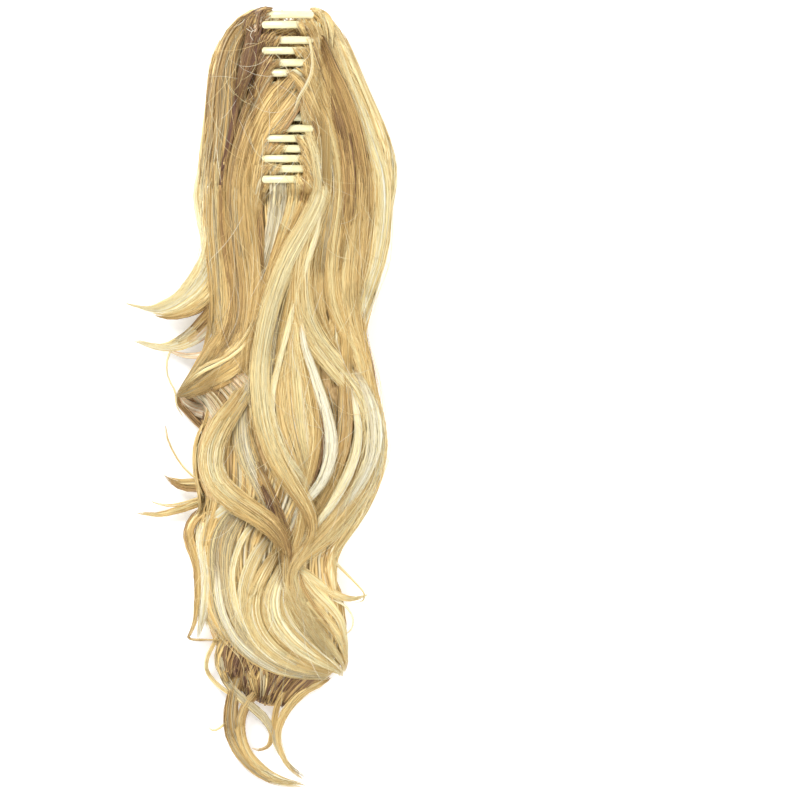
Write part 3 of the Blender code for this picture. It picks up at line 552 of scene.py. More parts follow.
        (297, 94, 3, 0), (302, 104, 5, 0), (307, 116, 6, 1), (312, 132, 6, 2), (315, 150, 6, 3),
        (317, 172, 6, 3), (317, 196, 6, 2), (312, 222, 5, 1), (304, 248, 4, 1)), COMB),
    ("right_in", (("brown", 0.28), ("dark", 0.45), ("brown", 0.75), ("brown", 1.0)), 80, 2.0, (
        (306, 24, 2, 3), (313, 40, 4, 4), (320, 60, 5, 5), (328, 84, 6, 6), (336, 108, 6, 6), (343, 132, 7, 6),
        (348, 158, 7, 6), (350, 186, 7, 5), (349, 216, 7, 4), (344, 246, 6, 3), (340, 274, 5, 3)), COMB),
    ("right_out", "gold", 50, 2.0, (
        (317, 16, 2, 0), (329, 30, 4, 0), (337, 46, 5, 0), (344, 64, 6, 0), (352, 84, 6, 0), (361, 104, 6, 0),
        (369, 124, 6, 0), (376, 146, 6, 0), (381, 168, 5, 0))),
    ("right_out", "gold", 50, 2.0, (
        (312, 16, 2, -2), (322, 28, 5, -2), (331, 44, 6, -2), (338, 62, 7, -2), (345, 82, 7, -2), (353, 104, 7, -2),
        (362, 128, 6, -2), (370, 150, 5, -2))),
    # the broad lock across the middle
    ("right_in", (("gold", 0.03), ("sunny", 0.57), ("gold", 0.68), ("honey", 0.8), ("sunny", 1.0)), 150, 5.0, (
        (301, 104, 2, 0), (305, 120, 3, 1), (310, 138, 3.5, 5), (316, 156, 4.5, 7), (320, 172, 6, 7),
        (322, 187, 7.5, 5), (318, 204, 9, 5), (306, 228, 10, 5), (290, 256, 10, 5), (278, 284, 9.5, 5), (269, 314, 9, 5),
        (263, 343, 9, 5), (260, 371, 9.5, 5), (261, 400, 10, 5), (265, 426, 10, 5), (273, 450, 10, 5),
        (283, 470, 9.5, 5), (295, 489, 8.5, 5), (305, 504, 7, 5), (311, 518, 6, 5),
        (312, 532, 5, 4), (306, 547, 5, 3), (297, 561, 5, 3), (293, 576, 5, 2), (297, 596, 6, 2),
        (308, 616, 6, 1), (322, 636, 5, 1), (336, 654, 4, 0)), {"mode": "above"}),
    ("right_in", "brown", 70, 3.0, (
        (303, 138, 3, 2), (307, 156, 5, 3), (309, 178, 6, 3), (306, 202, 7, 2), (297, 224, 8, 2),
        (286, 246, 9, 2), (276, 270, 9, 2), (266, 296, 8, 1), (258, 322, 8, 1), (252, 348, 8, 1),
        (249, 376, 8, 0), (250, 404, 8, -2), (254, 430, 9, -3), (262, 455, 9, -3),
        (272, 480, 8, -3), (283, 503, 7, -3), (290, 524, 6, -3), (291, 544, 5, -2)), COMB),
    # the golden lock right of it, which makes the loop on the right
    ("right_in", (("vroot", 0.12), ("gold", 0.42), ("sunny", 0.6), ("gold", 1.0)), 150, 4.5, (
        (303, 66, 3, 2), (310, 88, 5, 3), (318, 110, 7, 4), (326, 132, 8, 4), (329, 156, 9, 3), (326, 182, 9, 3),
        (318, 208, 9, 3), (309, 236, 9, 3), (303, 264, 10, 4), (302, 292, 11, 4), (306, 318, 12, 4),
        (317, 341, 12, 4), (333, 362, 12, 4), (349, 381, 11, 3), (362, 401, 10, 2),
        (370, 422, 10, 1), (372, 443, 10, 1), (369, 465, 10, 1), (359, 488, 10, 1), (344, 510, 10, 1),
        (327, 530, 9, 2), (309, 547, 8, 3), (296, 561, 7, 4), (290, 576, 6, 4), (292, 596, 7, 3),
        (303, 618, 8, 2), (318, 638, 8, 1), (334, 657, 5, 0)), COMB),
    # the fan between them
    ("right_in", "honey", 110, 3.0, (
        (305, 150, 3, 5), (310, 170, 5, 2), (314, 190, 6, 2), (312, 214, 6, 3), (306, 240, 7, 3),
        (301, 266, 7, 3), (298, 292, 7, 3), (298, 316, 8, 3), (301, 340, 9, 3), (306, 364, 10, 3),
        (311, 388, 10, 3), (315, 412, 9, 3), (316, 434, 8, 3), (314, 456, 7, 4), (310, 474, 6, 4),
        (306, 490, 5, 4), (303, 504, 5, 4), (302, 520, 5, 3), (298, 540, 5, 3), (291, 560, 5, 3),
        (286, 580, 5, 2), (288, 602, 7, 2), (299, 622, 7, 1), (314, 640, 6, 1), (330, 656, 4, 0))),
    ("tail", "gold", 110, 3.0, (
        (320, 200, 3, 4), (314, 226, 4, 4), (304, 256, 5, 4), (296, 286, 6, 3), (290, 316, 7, 2),
        (285, 344, 8, 2), (281, 372, 9, 2), (280, 400, 9, 2), (284, 428, 9, 2),
        (292, 452, 8, 3), (301, 472, 6, 3), (308, 488, 4, 4), (311, 502, 3, 3))),
    ("tail", "sunny", 110, 3.0, (
        (324, 200, 3, 4), (318, 228, 4, 4), (309, 256, 4, 4), (302, 284, 5, 3), (297, 312, 7, 3),
        (295, 340, 9, 3), (294, 368, 10, 3), (296, 396, 11, 3), (299, 422, 10, 3), (303, 446, 8, 4),
        (307, 466, 6, 4), (310, 482, 4, 4), (311, 498, 3, 3))),
    ("tail", "pale", 40, 1.5, (
        (325, 185, 2, 6), (321, 212, 2, 7), (315, 240, 2.5, 7), (305, 268, 3, 7), (297, 298, 3, 7),
        (288, 330, 3, 6), (280, 360, 3, 5), (273, 390, 3, 5), (272, 416, 3, 5), (278, 438, 3, 5),
        (288, 457, 3, 5), (300, 473, 3, 6), (309, 488, 2.5, 6), (312, 502, 2, 5))),
    ("tail", "dark", 20, 0.8, (
        (312, 360, 1, 4), (318, 385, 1.5, 6), (322, 410, 1.5, 6), (324, 435, 1.5, 6), (321, 460, 1.5, 6), (313, 482, 1.2, 6),
        (304, 498, 1, 5))),
    # painted sheen: a near-white band of strands down the middle of the tail where the hair shines
    ("tail", "silver", 90, 2.5, (
        (300, 305, 2, 4), (302, 328, 2.5, 5), (306, 350, 3.5, 5), (314, 372, 4, 5), (321, 394, 5, 6),
        (327, 414, 5.5, 6), (331, 434, 6, 6), (331, 454, 6, 6), (326, 473, 5.5, 6), (317, 489, 4.5, 6),
        (306, 501, 4, 5), (298, 514, 4, 3), (294, 532, 4, 1))),
    ("tail", (("honey", 0.4), ("vroot", 0.75), ("honey", 1.0)), 80, 2.0, (
        (336, 250, 4, 1), (338, 280, 5, 2), (343, 310, 6, 3), (347, 340, 6, 3), (346, 365, 7, 4),
        (345, 390, 7, 5), (346, 415, 8, 5), (344, 440, 8, 5), (338, 466, 7, 3), (328, 490, 6, 2),
        (316, 512, 5, 3), (305, 532, 5, 3))),
    # painted highlight: a near-white lock on the inside of the right loop
    ("right_in", "cream", 90, 1.5, (
        (352, 366, 2, 5), (362, 382, 4, 6), (369, 400, 6, 6), (373, 418, 7, 6), (374, 436, 7.5, 6), (372, 454, 7, 6),
        (366, 472, 6, 6), (356, 490, 5, 5), (343, 508, 4, 4), (328, 524, 3, 3)), {"wiggle": 1.8, "stray": 0.2, "spread": 0.25, "tips": 0.4}),
    # painted highlight: a pale lock along the right loop where a thin highlight runs down it
    ("tail", "pale", 60, 2.0, (
        (350, 385, 2, 5), (356, 408, 3, 5), (359, 430, 3.5, 5), (357, 450, 4, 5), (350, 471, 4, 5),
        (339, 493, 4, 5), (325, 514, 3.5, 4), (311, 531, 3, 4), (299, 546, 3, 4))),
    ("tail", "honey", 40, 1.5, (
        (352, 514, 2, -3), (343, 528, 3, -1), (330, 540, 3, 2), (314, 551, 3, 5), (300, 562, 3, 6), (293, 575, 3, 5), (293, 590, 3, 4),
        (303, 608, 3, 3), (318, 624, 3, 2), (332, 640, 2, 1))),
    # lower part: from the knot down into the big curl
    ("low", "honey", 50, 2.0, (
        (236, 497, 4, 0), (218, 504, 5, 0), (203, 511, 5, 0), (192, 521, 5, 0), (188, 534, 5, 0),
        (191, 548, 5, 0), (196, 562, 4, 0), (198, 580, 4, 0), (197, 600, 3, 0), (195, 620, 2, 0),
        (190, 633, 1.5, 0), (187.5, 639, 1, 0), (196, 640.5, 1, 0), (210, 640, 1, 0), (227, 641, 1, 0))),
    ("low", "pale", 70, 2.0, (
        (240, 500, 5, 0), (224, 508, 6, 0), (210, 519, 6, 0), (202, 534, 6, 0), (201, 552, 6, 0),
        (204, 572, 6, 0), (204, 592, 6, 0), (203, 612, 5, 0), (200, 630, 3, 0), (197, 640, 1.5, 0))),
    ("low", "ash", 80, 2.5, (
        (244, 503, 6, 0), (230, 514, 6, 0), (219, 530, 6, 0), (214, 548, 6, 0), (214, 568, 6, 0),
        (216, 590, 6, 0), (219, 610, 6, 0), (228, 630, 6, 0), (242, 648, 6, 0), (260, 662, 5, 0),
        (282, 672, 4, 0), (304, 677, 3, 0), (328, 678.5, 1.5, 0)), CLEAN),
    ("low", "ash", 90, 3.0, (
        (250, 508, 6, 0), (238, 522, 6, 0), (229, 540, 6, 1), (226, 560, 6, 1), (227, 582, 6, 1),
        (231, 604, 6, 1), (240, 626, 6, 1), (254, 645, 6, 1), (272, 660, 6, 1), (292, 670, 5, 1),
        (312, 675, 3, 1), (327, 677, 1.5, 1)), CLEAN),
    ("low", "pale", 34, 1.5, (
        (256, 520, 3, 2), (244, 536, 3, 2), (236, 554, 3, 3), (232, 574, 3, 4), (234, 596, 3, 4),
        (240, 618, 3, 3), (250, 638, 3, 3))),
    ("low", "sunny", 90, 3.0, (
        (270, 535, 5, 0), (258, 552, 6, 1), (249, 572, 7, 2), (244, 594, 7, 2), (246, 616, 7, 2),
        (256, 638, 7, 2), (272, 655, 6, 2), (292, 667, 5, 1), (312, 673, 3.5, 1), (328, 676, 1.5, 1)), CLEAN),
    ("low", (("gold", 0.25), ("sunny", 0.75), ("gold", 1.0)), 80, 3.0, (
        (279, 548, 5, 1), (268, 566, 6, 2), (258, 586, 7, 3), (254, 608, 8, 3), (260, 630, 8, 3),
        (275, 649, 7, 2), (295, 662, 6, 1), (315, 670, 4, 1), (331, 674, 2, 0)), CLEAN),
    ("low", "sunny", 100, 3.5, (
        (285, 560, 4, 2), (276, 580, 6, 3), (270, 602, 8, 3), (275, 624, 8, 3), (290, 643, 7, 2),
        (308, 656, 6, 1), (326, 666, 4, 0), (337, 671, 2.5, -1), (341, 674, 2, -5)), CLEAN),
    ("low", "sunny", 80, 3.0, (
        (288, 566, 4, 3), (283, 586, 6, 3), (283, 606, 7, 3), (292, 626, 7, 2), (307, 642, 6, 1),
        (323, 656, 5, 0), (336, 667, 3, 0), (341, 672, 2, -3), (341, 677, 2, -8)), CLEAN),
    ("low", "sunny", 70, 3.0, (
        (291, 566, 4, 3), (290, 584, 5, 3), (294, 603, 6, 2), (306, 621, 6, 2), (321, 636, 6, 1),
        (333, 650, 4, 0), (341, 661, 3, 0), (344, 668, 2, -3), (344, 673, 2, -9)), CLEAN),
    ("low", (("gold", 0.3), ("sunny", 0.8), ("gold", 1.0)), 70, 3.0, (
        (294, 564, 4, 2), (298, 582, 5, 2), (307, 599, 6, 1), (320, 614, 6, 0), (333, 628, 5, 0),
        (341, 642, 4, 0), (344, 654, 3, -1), (346, 663, 2, -4), (344, 670, 2, -10)), CLEAN),
    ("low", "sunny", 60, 2.5, (
        (296, 562, 4, 1), (305, 577, 5, 1), (317, 592, 6, 0), (330, 606, 5, 0), (340, 620, 4, 0),
        (344, 634, 3, -1), (346, 648, 2, -3), (346, 660, 2, -8)), CLEAN),
    ("low", "brown", 24, 1.2, (
        (297, 568, 2, 3), (303, 588, 2, 4), (314, 606, 2, 3), (327, 623, 2, 2), (338, 640, 2, 1), (343, 656, 1.5, -1)),
     CLEAN),
    ("low", "brown", 28, 1.2, (
        (282, 570, 2.4, 4), (271, 590, 2.2, 5), (268, 612, 2.2, 5), (277, 634, 2.4, 4), (292, 650, 3, 3), (312, 663, 2.5, 1),
        (330, 671, 1.5, 0)), CLEAN),
    ("low", "pale", 40, 1.5, (
        (284, 574, 3, 5), (277, 594, 3.5, 6), (278, 614, 3.5, 6), (289, 633, 3.5, 5), (304, 648, 3, 3), (321, 661, 2.5, 1),
        (335, 669, 1.5, 0)), CLEAN),
    ("low", "grey", 50, 1.8, (
        (216, 560, 3, 1), (217, 582, 4, 1), (220, 604, 4, 2), (227, 624, 4, 2), (239, 643, 4, 2), (257, 659, 4, 1),
        (279, 671, 3, 1), (304, 677, 2, 1)), CLEAN),
    ("low", "gold", 60, 2.5, (
        (340, 600, 2, -9), (341, 620, 4, -8), (341, 640, 4, -8), (340, 654, 3, -9), (334, 668, 3, -9), (320, 680, 2, -9))),
    ("low", "honey", 60, 2.5, (
        (330, 574, 3, -8), (337, 592, 4, -8), (341, 612, 4, -6), (342, 632, 4, -5), (342, 650, 3, -6), (340, 664, 2, -8))),
    ("side", "sunny", 60, 2.0, (
        (290, 564, 4, 2), (302, 571, 5, 2), (317, 582, 5, 1), (331, 592, 4, 0), (344, 598, 3, 0),
        (356, 599, 2, 0), (368, 595, 0.7, 0))),
    ("side", "stray", 14, 0.8, (
        (314, 548, 2, 2), (328, 556, 2, 1), (341, 569, 1.5, 0), (354, 582, 1.2, 0), (364, 594, 1, 0), (362, 602, 1, 0),
        (353, 603, 0.6, 0))),
    ("side", "stray", 10, 0.6, (
        (330, 598, 2, 0), (345, 606, 1.2, 0), (353, 618, 1, 0), (351, 630, 1, 0), (344, 635, 0.6, 0))),
    # the hollow under the big curl and what hangs from it
    ("low", "gold", 26, 1.0, (
        (222, 626, 2, -2), (214, 643, 2, -2), (207, 657, 2, -2), (206, 671, 2, -1), (215, 684, 2, 0),
        (231, 696, 2, 1), (250, 709, 2, 2), (268, 722, 2, 2))),
    ("low", "ash", 60, 1.5, (
        (234, 630, 3, -4), (226, 643, 3, -4), (221, 657, 3.5, -2), (223, 675, 4, 0), (233, 691, 4, 1),
        (248, 705, 4, 2), (262, 717, 4, 2), (271, 731, 3, 1), (275, 745, 2, 0), (283, 760, 2, 0),
        (294, 771, 1.5, 0), (306, 779, 1, 0))),
    ("side", "gold", 50, 2.0, (
        (331, 676, 2.5, -2), (320, 684, 3.5, -2), (304, 692, 4, -1), (290, 706, 4, 0), (281, 721, 4, 0),
        (277, 738, 3, 0), (281, 755, 2.5, 0), (290, 770, 1.5, 0), (303, 781, 0.8, 0))),
    ("side", "honey", 40, 2.0, (
        (300, 678, 3, -4), (286, 690, 3, -2), (277, 705, 3, 0), (274, 721, 3, 0), (271, 736, 2.5, 0),
        (268, 747, 2, 0), (258, 751, 1.5, 0), (251, 749, 0.8, 0))),
    ("side", (("leftdark", 0.4), ("left", 0.8), ("gold", 1.0)), 90, 3.0, (
        (246, 664, 4, -6), (236, 680, 5, -3), (232, 698, 6, 0), (230, 716, 7.5, 0), (232, 735, 8, 0),
        (240, 752, 8, 0), (253, 767, 7.5, 0), (269, 778, 6, 0), (286, 784, 4, 0), (306, 788, 1.2, 0))),
    ("side", (("left", 0.3), ("gold", 0.65), ("sunny", 1.0)), 50, 2.0, (
        (259, 690, 4, -2), (250, 700, 4, 0), (243, 712, 4.5, 1), (240, 728, 4.5, 2), (243, 745, 5, 2),
        (251, 760, 5, 2), (263, 772, 5, 2), (281, 781, 3, 1), (302, 785, 1, 1))),
    ("side", "stray", 6, 0.5, (
        (236, 712, 2, 0), (222, 727, 1, 0), (212, 732, 1, 0), (206, 727, 0.5, 0))),
    # flicks on the left
    ("side", "sunny", 50, 2.0, (
        (206, 190, 3, -1), (209, 220, 4, -1), (210, 246, 5, 0), (198, 270, 5, 0), (180, 294, 4, 0),
        (162, 304, 3, 0), (146, 308, 1.8, 0), (124, 303, 0.7, 0))),
    ("side", "pale", 60, 2.0, (
        (214, 222, 4, -3), (214, 250, 6, -2), (205, 274, 6, -1), (190, 292, 5, 0), (173, 304, 4, 0),
        (157, 310, 2.6, 0), (140, 309, 1, 0))),
    ("side", "pale", 50, 2.0, (
        (217, 240, 4, -4), (216, 266, 6, -2), (206, 287, 6, -1), (191, 301, 5, 0), (175, 310, 3.5, 0),
        (159, 313, 2, 0), (147, 311, 0.8, 0))),
    ("side", "gold", 40, 1.5, (
        (219, 262, 4, -4), (216, 284, 5, -3), (206, 299, 5, -1), (191, 309, 4, 0), (175, 315, 2.6, 0),
        (157, 316, 1, 0))),
    ("side", "brown", 30, 1.2, (
        (220, 276, 3, -4), (214, 294, 3.5, -3), (201, 308, 3, -1), (185, 315, 2.5, 0), (168, 318, 1.6, 0),
        (153, 315, 0.7, 0))),
    ("side", (("brown", 0.42), ("ash", 0.6), ("pale", 1.0)), 60, 2.0, (
        (224, 280, 4, -4), (216, 303, 6, -3), (204, 319, 6, -1), (190, 333, 5, 0), (175, 342, 4, 0),
        (159, 346, 2.4, 0), (136, 340, 0.8, 0))),
    ("side", (("peach", 0.4), ("pale", 1.0)), 50, 2.0, (
        (224, 298, 4, -4), (216, 318, 6, -3), (204, 333, 5, -1), (190, 343, 4, 0), (174, 348, 3, 0),
        (156, 348, 1.8, 0), (131, 340, 0.6, 0))),
    ("side", "peach", 40, 1.2, (
        (224, 344, 4, -3), (208, 353, 4, -2), (192, 356, 3.2, -1), (177, 354, 2.2, 0), (162, 347, 0.7, 0))),
    ("side", "stray", 5, 0.3, (
        (176, 341, 1, 1), (167, 358, 1, 1), (167, 376, 1, 1), (175, 392, 1, 0), (176, 406, 1, 0), (184, 419, 0.8, 0))),
    # the lock that folds back under itself
    ("side", "dark", 40, 1.5, (
        (176, 392, 1.5, -1), (177, 401, 2.5, -3), (186, 412, 3, -5), (196, 422, 3, -7), (204, 430, 3, -8),
        (214, 436, 1.5, -8))),
    ("side", "peach", 50, 1.5, (
        (178, 393, 2, -3), (183, 402, 4, -4), (193, 409, 6, -6), (206, 412, 7, -8), (221, 411, 7, -9), (236, 405, 6, -9))),
    ("side", "brown", 26, 1.0, (
        (226, 388, 3, -2), (222, 398, 4, -4), (216, 408, 4, -6), (209, 418, 3, -7), (205, 428, 2, -7))),
    ("left", "left", 90, 2.0, (
        (251, 322, 6, 3), (240, 342, 8, 3), (225, 358, 9, 3), (209, 371, 8, 3), (194, 383, 6, 2), (182, 391, 3, 2),
        (176, 396, 1, 1))),
    ("left", "left", 60, 2.0, (
        (226, 326, 6, 1), (217, 340, 7, 1), (208, 353, 6.5, 1), (201, 364, 6, 1), (192, 377, 5, 1), (182, 389, 3, 1), (176, 396, 1, 0))),
    ("left", (("honey", 0.5), ("left", 1.0)), 80, 2.0, (
        (252, 346, 7, 2), (239, 362, 8, 3), (223, 373, 8, 3), (207, 382, 6.5, 3), (191, 390, 4, 2), (177, 396, 1.2, 1))),
    ("left", "brown", 50, 1.5, (
        (254, 360, 4, 2), (240, 373, 5, 2), (224, 382, 5, 2), (208, 389, 4, 2), (192, 394, 3, 1), (177, 397, 1, 0))),
    ("side", "ash", 50, 2.0, (
        (244, 352, 5, -1), (232, 368, 6, -1), (215, 380, 6, -1), (197, 389, 5, 0), (182, 394, 3, 0), (176, 396, 1.5, 0))),
    # tufts lower on the left
    ("side", "brown", 36, 1.8, (
        (226, 484, 5, -2), (208, 485, 5.5, -1), (192, 487, 5, 0), (179, 485, 4, 0), (170, 481, 2.2, 0),
        (163, 475, 0.7, 0))),
    ("side", "gold", 20, 1.0, (
        (226, 480, 3, 0), (208, 480, 3, 1), (192, 481, 3, 1), (180, 481, 2.4, 1), (166, 477, 0.8, 0))),
    ("side", "gold", 40, 1.5, (
        (230, 492, 5, -4), (211, 498, 4.5, -2), (193, 505, 4, 0), (175, 511, 3.5, 0), (157, 515, 2.4, 0),
        (134, 513, 0.7, 0))),
    ("side", "stray", 6, 0.5, (
        (214, 492, 2, 0), (190, 502, 2, 1), (170, 506, 1.5, 1), (156, 504, 1, 1), (144, 499, 0.6, 0))),
    ("side", "stray", 5, 0.4, (
        (164, 424, 1, 0), (167, 440, 1, 0), (176, 458, 1, 0), (190, 474, 1, 0), (208, 486, 1, 0))),
    # light strands that cross over the folded lock
    ("left", "gold", 7, 0.6, (
        (256, 318, 1.5, 6), (242, 342, 1.5, 6), (226, 357, 1.5, 6), (203, 367, 1.5, 6), (176, 393, 1, 2))),
    ("left", "sunny", 6, 0.6, (
        (252, 338, 1.5, 6), (240, 350, 1.5, 6), (226, 360, 1.5, 6), (200, 373, 1.5, 6), (179, 391, 1, 2))),
    ("left", "gold", 6, 0.6, (
        (247, 364, 1.5, 5), (227, 379, 1.5, 5), (205, 387, 1.5, 4), (179, 396, 1, 2))),
)

for where, mix, n, depth, rows, *rest in LOCKS:
    grow_lock(where, rows, n, mix, depth, **(rest[0] if rest else {}))

# the folded lock's far side: hair that runs down from the fold to the right, behind the sheet; the strands from the
# fold's left end take dark colours of painted shade
for i in range(190):
    band = i < 50
    f = (i + RNG.uniform(0, 1)) / 50 if band else RNG.uniform(0, 1)
    reach = 32 - 6 * f + RNG.uniform(-2, 3)
    t = np.linspace(0, 1, 6)
    bow = RNG.normal(1.5, 1.0)
    x = 178 + 66 * f + reach * 0.74 * t + bow * np.sin(np.pi * t)
    y = 397 - 24 * f + reach * 0.95 * t - bow * np.sin(np.pi * t) * 0.6
    z = height_at(x, y) - 5.5 - 2.0 * t + (9.2 + 0.6 * t) * smoothstep((x - 198) / 12) + RNG.uniform(-0.4, 0.8)
    draw = f + RNG.normal(0, 0.03)
    mix = "groove" if draw < 0.14 else ("foldgrey" if draw < 0.4 else ("dark" if draw < 0.52 else "foldgrey"))
    normals = np.tile([0.0, 0.0, 1.0], (len(t), 1)) if band else None
    lay("side", x, y, z - (0.8 if band else 0), (RNG.uniform(1.1, 1.6) if band else RNG.uniform(0.14, 0.26)) * ends(t, 0.6, 0.5),
        pick_colours(mix, 1)[0], normals)

# the hollow under the big curl: fine dark strands, painted shade, that fan out from the curl's edge to the rim
for i in range(330):
    f = RNG.uniform(-0.04, 1)
    top = np.array([224 + 96 * f, 636 + 36 * max(f, 0) ** 0.6]) + RNG.normal(0, 2.0, 2)
    low = np.array([226 + 60 * f, 683 + 31 * max(f, 0) ** 0.8 - 8 * max(f, 0) ** 3]) + RNG.normal(0, 1.5, 2)
    bow = RNG.normal(-5, 2.5) * (1 - 0.6 * f)
    t = np.linspace(0, 1, 6)
    x = top[0] + (low[0] - top[0]) * t + bow * np.sin(np.pi * t)
    y = top[1] + (low[1] - top[1]) * t
    z = height_at(x, y) - 0.4 - 0.8 * t + RNG.uniform(-0.3, 1.0)
    z[-1] = max(z[-1], z[-2] - 3)
    band = i < 110
    draw = RNG.random()
    mix = "groove" if draw < 0.62 else ("hollow" if draw < 0.9 else "brown")
    if f < 0.04 or (not band and draw > 0.97):
        mix = "left"
    normals = np.tile([0.0, 0.0, 1.0], (len(t), 1)) if band else None
    lay("low", x, y, z - (0.5 if band else 0), (RNG.uniform(1.2, 1.9) if band else RNG.uniform(0.16, 0.3)) * ends(t),
        pick_colours(mix, 1)[0], normals)

# ---------------------------------------------------------------- the claw's hair
# Piece, colours, strands, then plan x, y, half width and lift past the jaw's edge.
COMBED = (
    # painted shade: the left jaw's locks run into the groove's dark colours
    ("claw_left", (("roots", 0.28), ("groove", 0.75), ("brown", 1.0)), 50, ((284, 35, 1.5, 0), (280, 42, 3.5, 0), (273, 52, 5, 0), (265, 66, 5.5, 0),
                                (257, 84, 5, 3), (250, 106, 4, 4), (245, 130, 2, 4))),
    ("claw_right", "vroot", 30, ((295, 78, 2.5, 0), (290, 84, 4, 1), (284, 92, 4, 2), (277, 101, 4, 2), (270, 113, 2.5, 2))),
    ("claw_left", (("roots", 0.25), ("groove", 0.75), ("brown", 1.0)), 26, ((278, 33, 1.5, 0), (271, 44, 3, 0), (264, 58, 3.5, 0), (258, 76, 3.5, 2), (252, 98, 3, 4),
                                (247, 120, 2, 3))),
    ("claw_left", "roots", 40, ((285, 57, 1.5, 0), (281, 64, 3.5, 0), (273, 73, 5, 0), (263, 87, 5.5, 0), (255, 106, 5, 3),
                                (249, 130, 4, 4), (245, 155, 2, 4))),
    ("claw_left", "rootg", 40, ((289, 140, 2, 0), (284, 149, 3.5, 0), (276, 158, 4, 0), (267, 171, 4, 0), (259, 188, 4, 2),
                                (255, 206, 3, 2), (255, 228, 1.5, 2))),
    ("claw_left", "rootg", 30, ((284, 161, 2, 0), (280, 169, 3, 0), (273, 178, 3.5, 0), (265, 190, 3.5, 1), (259, 206, 3, 2),
                                (257, 226, 1.5, 2))),
    ("claw_right", "rootg", 40, ((297, 21, 1.5, 0), (301, 27, 3.5, 0), (307, 36, 4.5, 0), (314, 50, 5, 0), (321, 70, 5, 3),
                                 (329, 92, 4, 4), (335, 112, 2, 4))),
    ("claw_right", "rootg", 40, ((293, 46, 1.5, 0), (297, 53, 3.5, 0), (304, 62, 4.5, 0), (312, 76, 5, 0), (320, 96, 5, 3),
                                 (328, 118, 4, 4), (334, 140, 2, 4))),
    ("claw_right", "brown", 30, ((305, 30, 1.5, 0), (311, 42, 3.5, 0), (317, 58, 4, 0), (324, 78, 4, 3), (331, 100, 3, 4),
                                 (337, 120, 2, 4))),
    ("claw_right", "rootg", 40, ((287, 69, 1.5, 0), (291, 75, 3.5, 0), (299, 83, 4.5, 0), (308, 96, 5, 0), (317, 114, 5, 3),
                                 (324, 136, 4, 4), (329, 160, 2, 4))),
    ("claw_right", "rootg", 40, ((295, 134, 1.5, 0), (299, 140, 3, 0), (305, 149, 4, 0), (311, 162, 5, 0), (316, 180, 5, 2),
                                 (316, 200, 3, 3), (312, 218, 1.5, 3))),
    ("claw_right", "gold", 40, ((297, 154, 1.5, 0), (301, 160, 3, 0), (306, 168, 4, 0), (310, 180, 5, 1), (311, 198, 4, 2),
                                (306, 218, 2, 3))),
    ("claw_right", "gold", 30, ((295, 175, 1.5, 0), (299, 181, 3, 0), (303, 190, 4, 1), (304, 204, 4, 2), (299, 226, 2, 3))),
)
for piece, mix, n, rows in COMBED:
    grow_lock(piece, rows, n, mix, 1.2, bands=5, stray=0.2, spread=0.16, tips=0.3, mode="comb", wiggle=1.4)

# hair that springs from each covered stretch of a tooth: side, plan y of the tooth, where the cover begins
for side, row, limit in (
        (-1, 16.8, 270), (-1, 42.3, 281), (-1, 64.7, 281), (-1, 74.9, 271), (-1, 130.0, 292), (-1, 150.2, 285), (-1, 170.1, 281),
        (1, 26.9, 298), (1, 42.3, 313), (1, 52.7, 294), (1, 64.7, 307), (1, 74.9, 288), (1, 140.0, 296), (1, 150.2, 301),
        (1, 160.0, 299), (1, 170.1, 305), (1, 180.5, 296)):
    piece = "claw_left" if side < 0 else "claw_right"
    mix = ("roots" if row < 80 else "rootg") if side < 0 else ("rootg" if row < 130 else "gold")
    top = row < 20  # round the claw's upper end
    for i in range(36 if row < 155 else 12):
        band = i < 8 and row < 155
        x0 = limit + side * RNG.uniform(-2, max(31 - abs(limit - CLAW_X), 4))
        # painted shade: strands beside the groove on the left take its dark colours
        dark = side < 0 and row < 70 and abs(x0 - CLAW_X) > 16
        t = np.linspace(0, 1, 9)
        x = x0 + (CLAW_X + side * RNG.uniform(31, 37) - x0) * t ** 0.8
        y0 = max(row + RNG.uniform(-10, 0 if abs(x0 - limit) > 5 else 4), 11)
        y = y0 + RNG.uniform(22, 46) * t ** (1.6 if top else 1.15) + RNG.normal(0, 1) * np.sin(np.pi * t)
        z = settle(x, y, height_at(x, y) + 2.2 - 3.8 * t ** 2, "comb") + (0 if band else RNG.uniform(0.3, 1.3))
        normals = np.tile([0.0, 0.0, 1.0], (len(t), 1)) if band else None
        lay(piece, x, y, z, (RNG.uniform(0.6, 1.0) if band else RNG.uniform(0.12, 0.24)) * ends(t, 0.3, 0.1, 0.5),
            pick_colours("groove" if dark else mix, 1)[0], normals)

# hair that comes over the jaws' upper ends
for i in range(100):
    band = i < 36
    side = -1 if i % 2 else 1
    t = np.linspace(0, 1, 10)
    start, reach = RNG.uniform(13 if side < 0 else 21, 26), RNG.uniform(36, 46)
    u = start + (reach - start) * np.sin(t * math.pi / 2)
    y = 9.6 + RNG.uniform(0, 3.5) + RNG.uniform(18, 40) * t ** 2.2
    x = CLAW_X + side * u
    z = settle(x, y, height_at(x, y) + 1.5 - 2.5 * t, "comb") + RNG.uniform(-0.2, 0.8)
    z = np.maximum(z, np.interp(u, (0, 8, 16, 22, 26, 29.5, 34), (68.4, 67.6, 64.8, 61.0, 57.2, 52.5, 46)) + (0.6 if band else 1.0))
    # painted shade: on the left most strands take the groove's dark colours
    mix = ("groove" if RNG.random() < 0.6 else "roots") if side < 0 else ("gold" if RNG.random() < 0.6 else "sunny")
    normals = np.tile([0.0, 0.0, 1.0], (len(t), 1)) if band else None
    lay("claw_left" if side < 0 else "claw_right", x, y, z,
        (RNG.uniform(0.7, 1.1) if band else RNG.uniform(0.12, 0.24)) * ends(t, 0.3, 0.2, 0.6), pick_colours(mix, 1)[0], normals)

